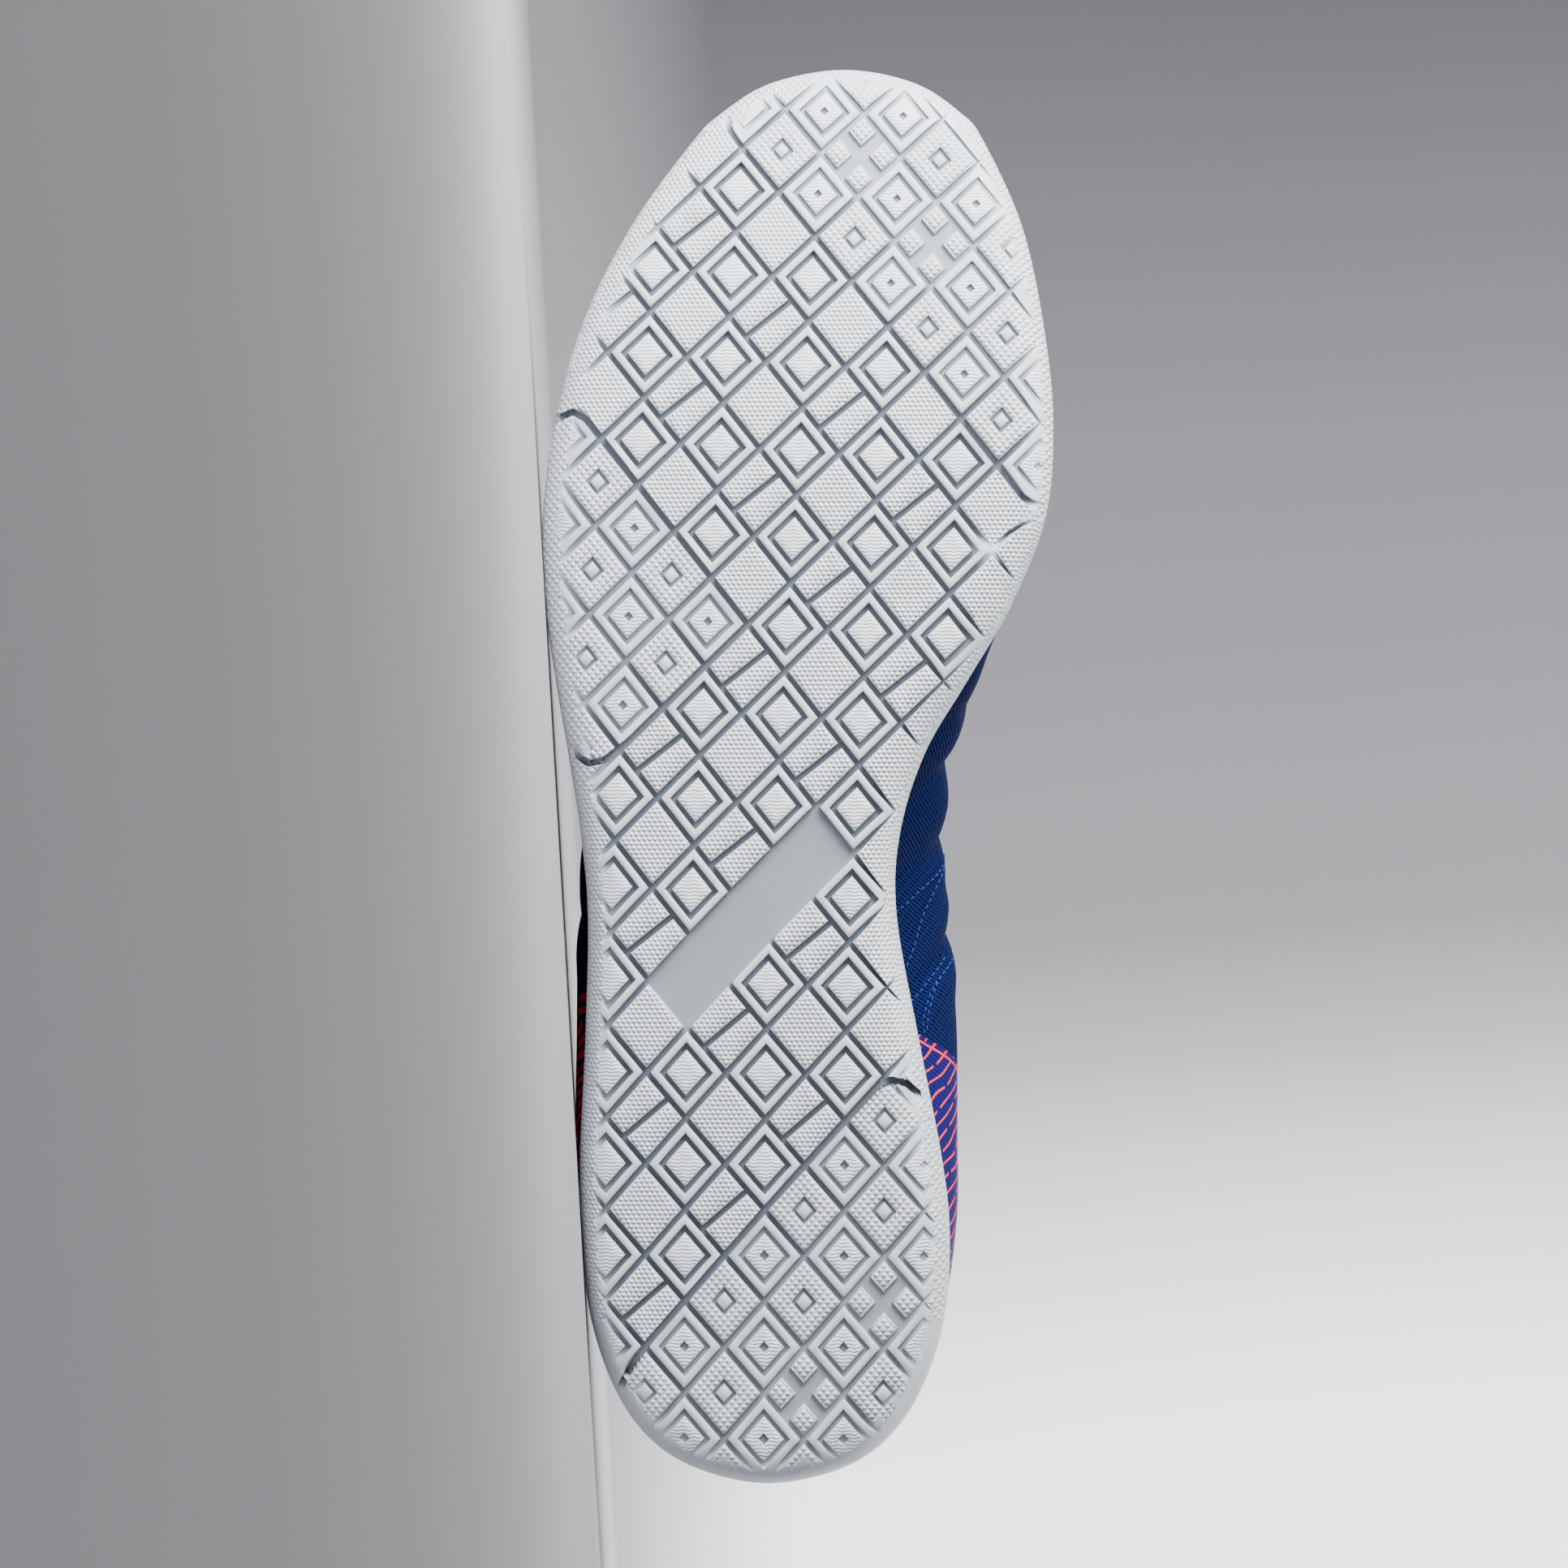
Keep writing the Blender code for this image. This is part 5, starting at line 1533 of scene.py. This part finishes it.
class SHOE_OT_stitching(bpy.types.Operator):
    """Sews the stitches in the side wall's channel and along the upper's seams"""

    bl_idname = "shoe.stitching"
    bl_label = "Stitching"

    def execute(self, context):
        bm = bmesh.new()
        for medial in (False, True):
            path = []
            for k in range(601):
                turn = k / 600
                point, out = outline_at(turn, medial)
                z = lip_height(turn) - CHANNEL_BELOW_LIP - 0.6 * MM
                path.append(bent(Vector((point[0] - out[0] * 0.75 * MM, point[1] - out[1] * 0.75 * MM, z))))
            self.stitches(bm, path, *SOLE_STITCH)
        finished(bm, "sole_stitches", [plain_cloth("polyester_thread_white")])
        bm = bmesh.new()
        # Two rows on the eyestay and one under the collar
        on_edge = (EYESTAY_FROM + 0.01, 1.0, 160, EYESTAY_DEPTH - 1.6 * MM, EYESTAY_OVER + 0.1 * MM)
        second = (EYESTAY_FROM + 0.01, 1.0, 160, EYESTAY_DEPTH - 3.8 * MM, EYESTAY_OVER + 0.1 * MM)
        collar = (0.0, 0.46, 120, COLLAR_ROLL + 1.5 * MM, 0.15 * MM)
        for medial in (False, True):
            for first, last, steps, depth, above in (on_edge, second, collar):
                turns = [first + (last - first) * k / steps for k in range(steps + 1)]
                self.stitches(bm, [self.on_wall(t, medial, depth, above) for t in turns], *SEAM_STITCH)
        for row in ARCH_STITCHES:
            path = []
            for k in range(41):
                along, v = through([Vector((*place, 0)) for place in row], k / 40)[:2]
                turn = turn_at(along * LENGTH, True)
                over = context.scene.upper_sizes.folds * fold(turn, True, v) + 0.15 * MM
                path.append(bent(wall_point(turn, True, v) + wall_normal(turn, True, v) * over))
            self.stitches(bm, path, *ARCH_STITCH)
        finished(bm, "upper_stitches", [plain_cloth("polyester_thread_blue")])
        return {"FINISHED"}

    def on_wall(self, turn, medial, depth, above):
        v = depth_below_top(turn, medial, depth)
        return bent(wall_point(turn, medial, v) + wall_normal(turn, medial, v) * above)

    def stitches(self, bm, path, pitch, length, radius):
        """Short rounded stitches along a path."""
        run = [0.0]
        for a, b in zip(path, path[1:]):
            run.append(run[-1] + (b - a).length)
        coords = np.array(path)

        def at(way):
            return Vector([np.interp(way, run, coords[:, k]) for k in range(3)])

        for k in range(int(run[-1] / pitch)):
            a, b = at(k * pitch), at(k * pitch + length)
            along = (b - a).normalized()
            made = bmesh.ops.create_uvsphere(bm, u_segments=6, v_segments=4, radius=radius)["verts"]
            turn = along.to_track_quat("Z", "Y").to_matrix().to_4x4()
            stretch = Matrix.Diagonal((1, 1, length / (2 * radius), 1))
            bmesh.ops.transform(bm, matrix=Matrix.Translation((a + b) / 2) @ turn @ stretch, verts=made)


class SHOE_OT_stage(bpy.types.Operator):
    """Sets the floor, backdrop, lights and camera"""

    bl_idname = "shoe.stage"
    bl_label = "Stage"

    def execute(self, context):
        settings = context.scene.stage_settings
        self.backdrop()
        self.lights(settings)
        self.camera(settings)
        return {"FINISHED"}

    def backdrop(self):
        """A seamless paper sweep: the floor, and a wall that it curves up into behind the shoe."""
        bm = bmesh.new()
        line = [bm.verts.new((0, SWEEP_FRONT, 0)), bm.verts.new((0, SWEEP_BACK, 0))]
        for k in range(1, 17):
            angle = math.pi / 2 * k / 16
            back = SWEEP_BACK - SWEEP_RADIUS * math.sin(angle)
            line.append(bm.verts.new((0, back, SWEEP_RADIUS * (1 - math.cos(angle)))))
        line.append(bm.verts.new((0, SWEEP_BACK - SWEEP_RADIUS, SWEEP_HEIGHT)))
        edges = [bm.edges.new(pair) for pair in zip(line, line[1:])]
        bmesh.ops.translate(bm, vec=(-SWEEP_WIDTH / 2, 0, 0), verts=bm.verts)
        made = bmesh.ops.extrude_edge_only(bm, edges=edges)["geom"]
        new = [g for g in made if isinstance(g, bmesh.types.BMVert)]
        bmesh.ops.translate(bm, vec=(SWEEP_WIDTH, 0, 0), verts=new)
        bmesh.ops.recalc_face_normals(bm, faces=bm.faces)
        if next(iter(bm.faces)).normal.z < 0:
            bmesh.ops.reverse_faces(bm, faces=bm.faces)
        smooth_object(bm, "paper_sweep", [self.paper()])

    def paper(self):
        """Matt paper: an even pale grey on the floor, and where it rises painted light fall-off, its grey going
        from dark at the toe's end to near white at the heel's."""
        made, node, shade = new_material("paper_painted_light_falloff", Roughness=0.95, Specular_IOR_Level=0.1)
        along, _, high = node("SeparateXYZ", node("TexCoord", out="Object"), out=slice(3))
        grey = node("ValToRGB", node("Math MULTIPLY_ADD", along, 1 / SWEEP_SEEN, 0.5))
        stops = grey.node.color_ramp.elements
        while len(stops) < len(PAPER_LIGHT_FALLOFF):
            stops.new(0.5)
        for stop, (at, value) in zip(stops, PAPER_LIGHT_FALLOFF):
            stop.position, stop.color = at, (*linear(value), 1)
        risen = node("Math MULTIPLY", high, 1 / SWEEP_RISE)
        shade({"Base Color": node("Mix", risen, in_6=linear("#a1a0a5"), in_7=grey, **COLOURS)})
        return made

    def lights(self, settings):
        """A soft key from the toe's side, large fills from the front and above, and a wash behind."""
        world = bpy.data.worlds.new("studio_air")
        bpy.context.scene.world = world
        world.use_nodes = True
        air = {"Color": linear("#dfe6ee"), "Strength": AIR_STRENGTH}
        fill(world.node_tree, world.node_tree.nodes["Background"], air)
        for name, (place, aim, size, share) in LIGHTS.items():
            data = bpy.data.lights.new(name, "AREA")
            data.shape, data.size, data.energy = "SQUARE", size, settings.key * share
            lamp = add_object(name, data)
            lamp.location = place
            lamp.rotation_euler = (Vector(aim) - Vector(place)).to_track_quat("-Z", "Y").to_euler()

    def camera(self, settings):
        """On the tread's outward normal where the floor allows it, rolled so that the toe is up."""
        target = SHOE @ Vector((*CAMERA_AIM, 0))
        out = SHOE.to_3x3() @ Vector((0, 0, -1))
        place = target + out * settings.camera_distance
        place.z = max(place.z, settings.camera_clearance)
        back = (place - target).normalized()
        toe = SHOE.to_3x3() @ Vector((1, 0, 0))
        right = toe.cross(back).normalized()
        up = back.cross(right)
        data = bpy.data.cameras.new("camera")
        data.sensor_width, data.clip_start = SENSOR, 1 * MM
        data.lens = SENSOR * (place - target).length / settings.frame_width
        camera = add_object("camera", data)
        camera.matrix_world = Matrix.Translation(place) @ Matrix((right, up, back)).transposed().to_4x4()
        bpy.context.scene.camera = camera


class SHOE_PT_panel(bpy.types.Panel):
    """The shoe's sizes and its makers' steps."""

    bl_label = "Indoor soccer shoe"
    bl_idname = "SHOE_PT_panel"
    bl_space_type = "VIEW_3D"
    bl_region_type = "UI"
    bl_category = "Shoe"

    def draw(self, context):
        for group in ("tread_sizes", "upper_sizes", "stage_settings"):
            settings = getattr(context.scene, group)
            box = self.layout.box()
            for name in settings.bl_rna.properties.keys():
                if name not in ("rna_type", "name"):
                    box.prop(settings, name)
        for step_class in STEPS:
            self.layout.operator(step_class.bl_idname)


GROUPS = {"tread_sizes": TreadSizes, "upper_sizes": UpperSizes, "stage_settings": StageSettings}
STEPS = (SHOE_OT_outsole, SHOE_OT_upper, SHOE_OT_eyestay, SHOE_OT_tongue, SHOE_OT_laces, SHOE_OT_stitching,
         SHOE_OT_stage)


def register():
    for made in (*GROUPS.values(), *STEPS, SHOE_PT_panel):
        bpy.utils.register_class(made)
    for name, group in GROUPS.items():
        setattr(bpy.types.Scene, name, PointerProperty(type=group))


def unregister():
    for name in GROUPS:
        delattr(bpy.types.Scene, name)
    for made in (SHOE_PT_panel, *STEPS, *GROUPS.values()):
        bpy.utils.unregister_class(made)


def main():
    register()
    for step_class in STEPS:
        group, name = step_class.bl_idname.split(".")
        getattr(getattr(bpy.ops, group), name)()
    bpy.context.view_layer.update()


if __name__ == "__main__":
    main()
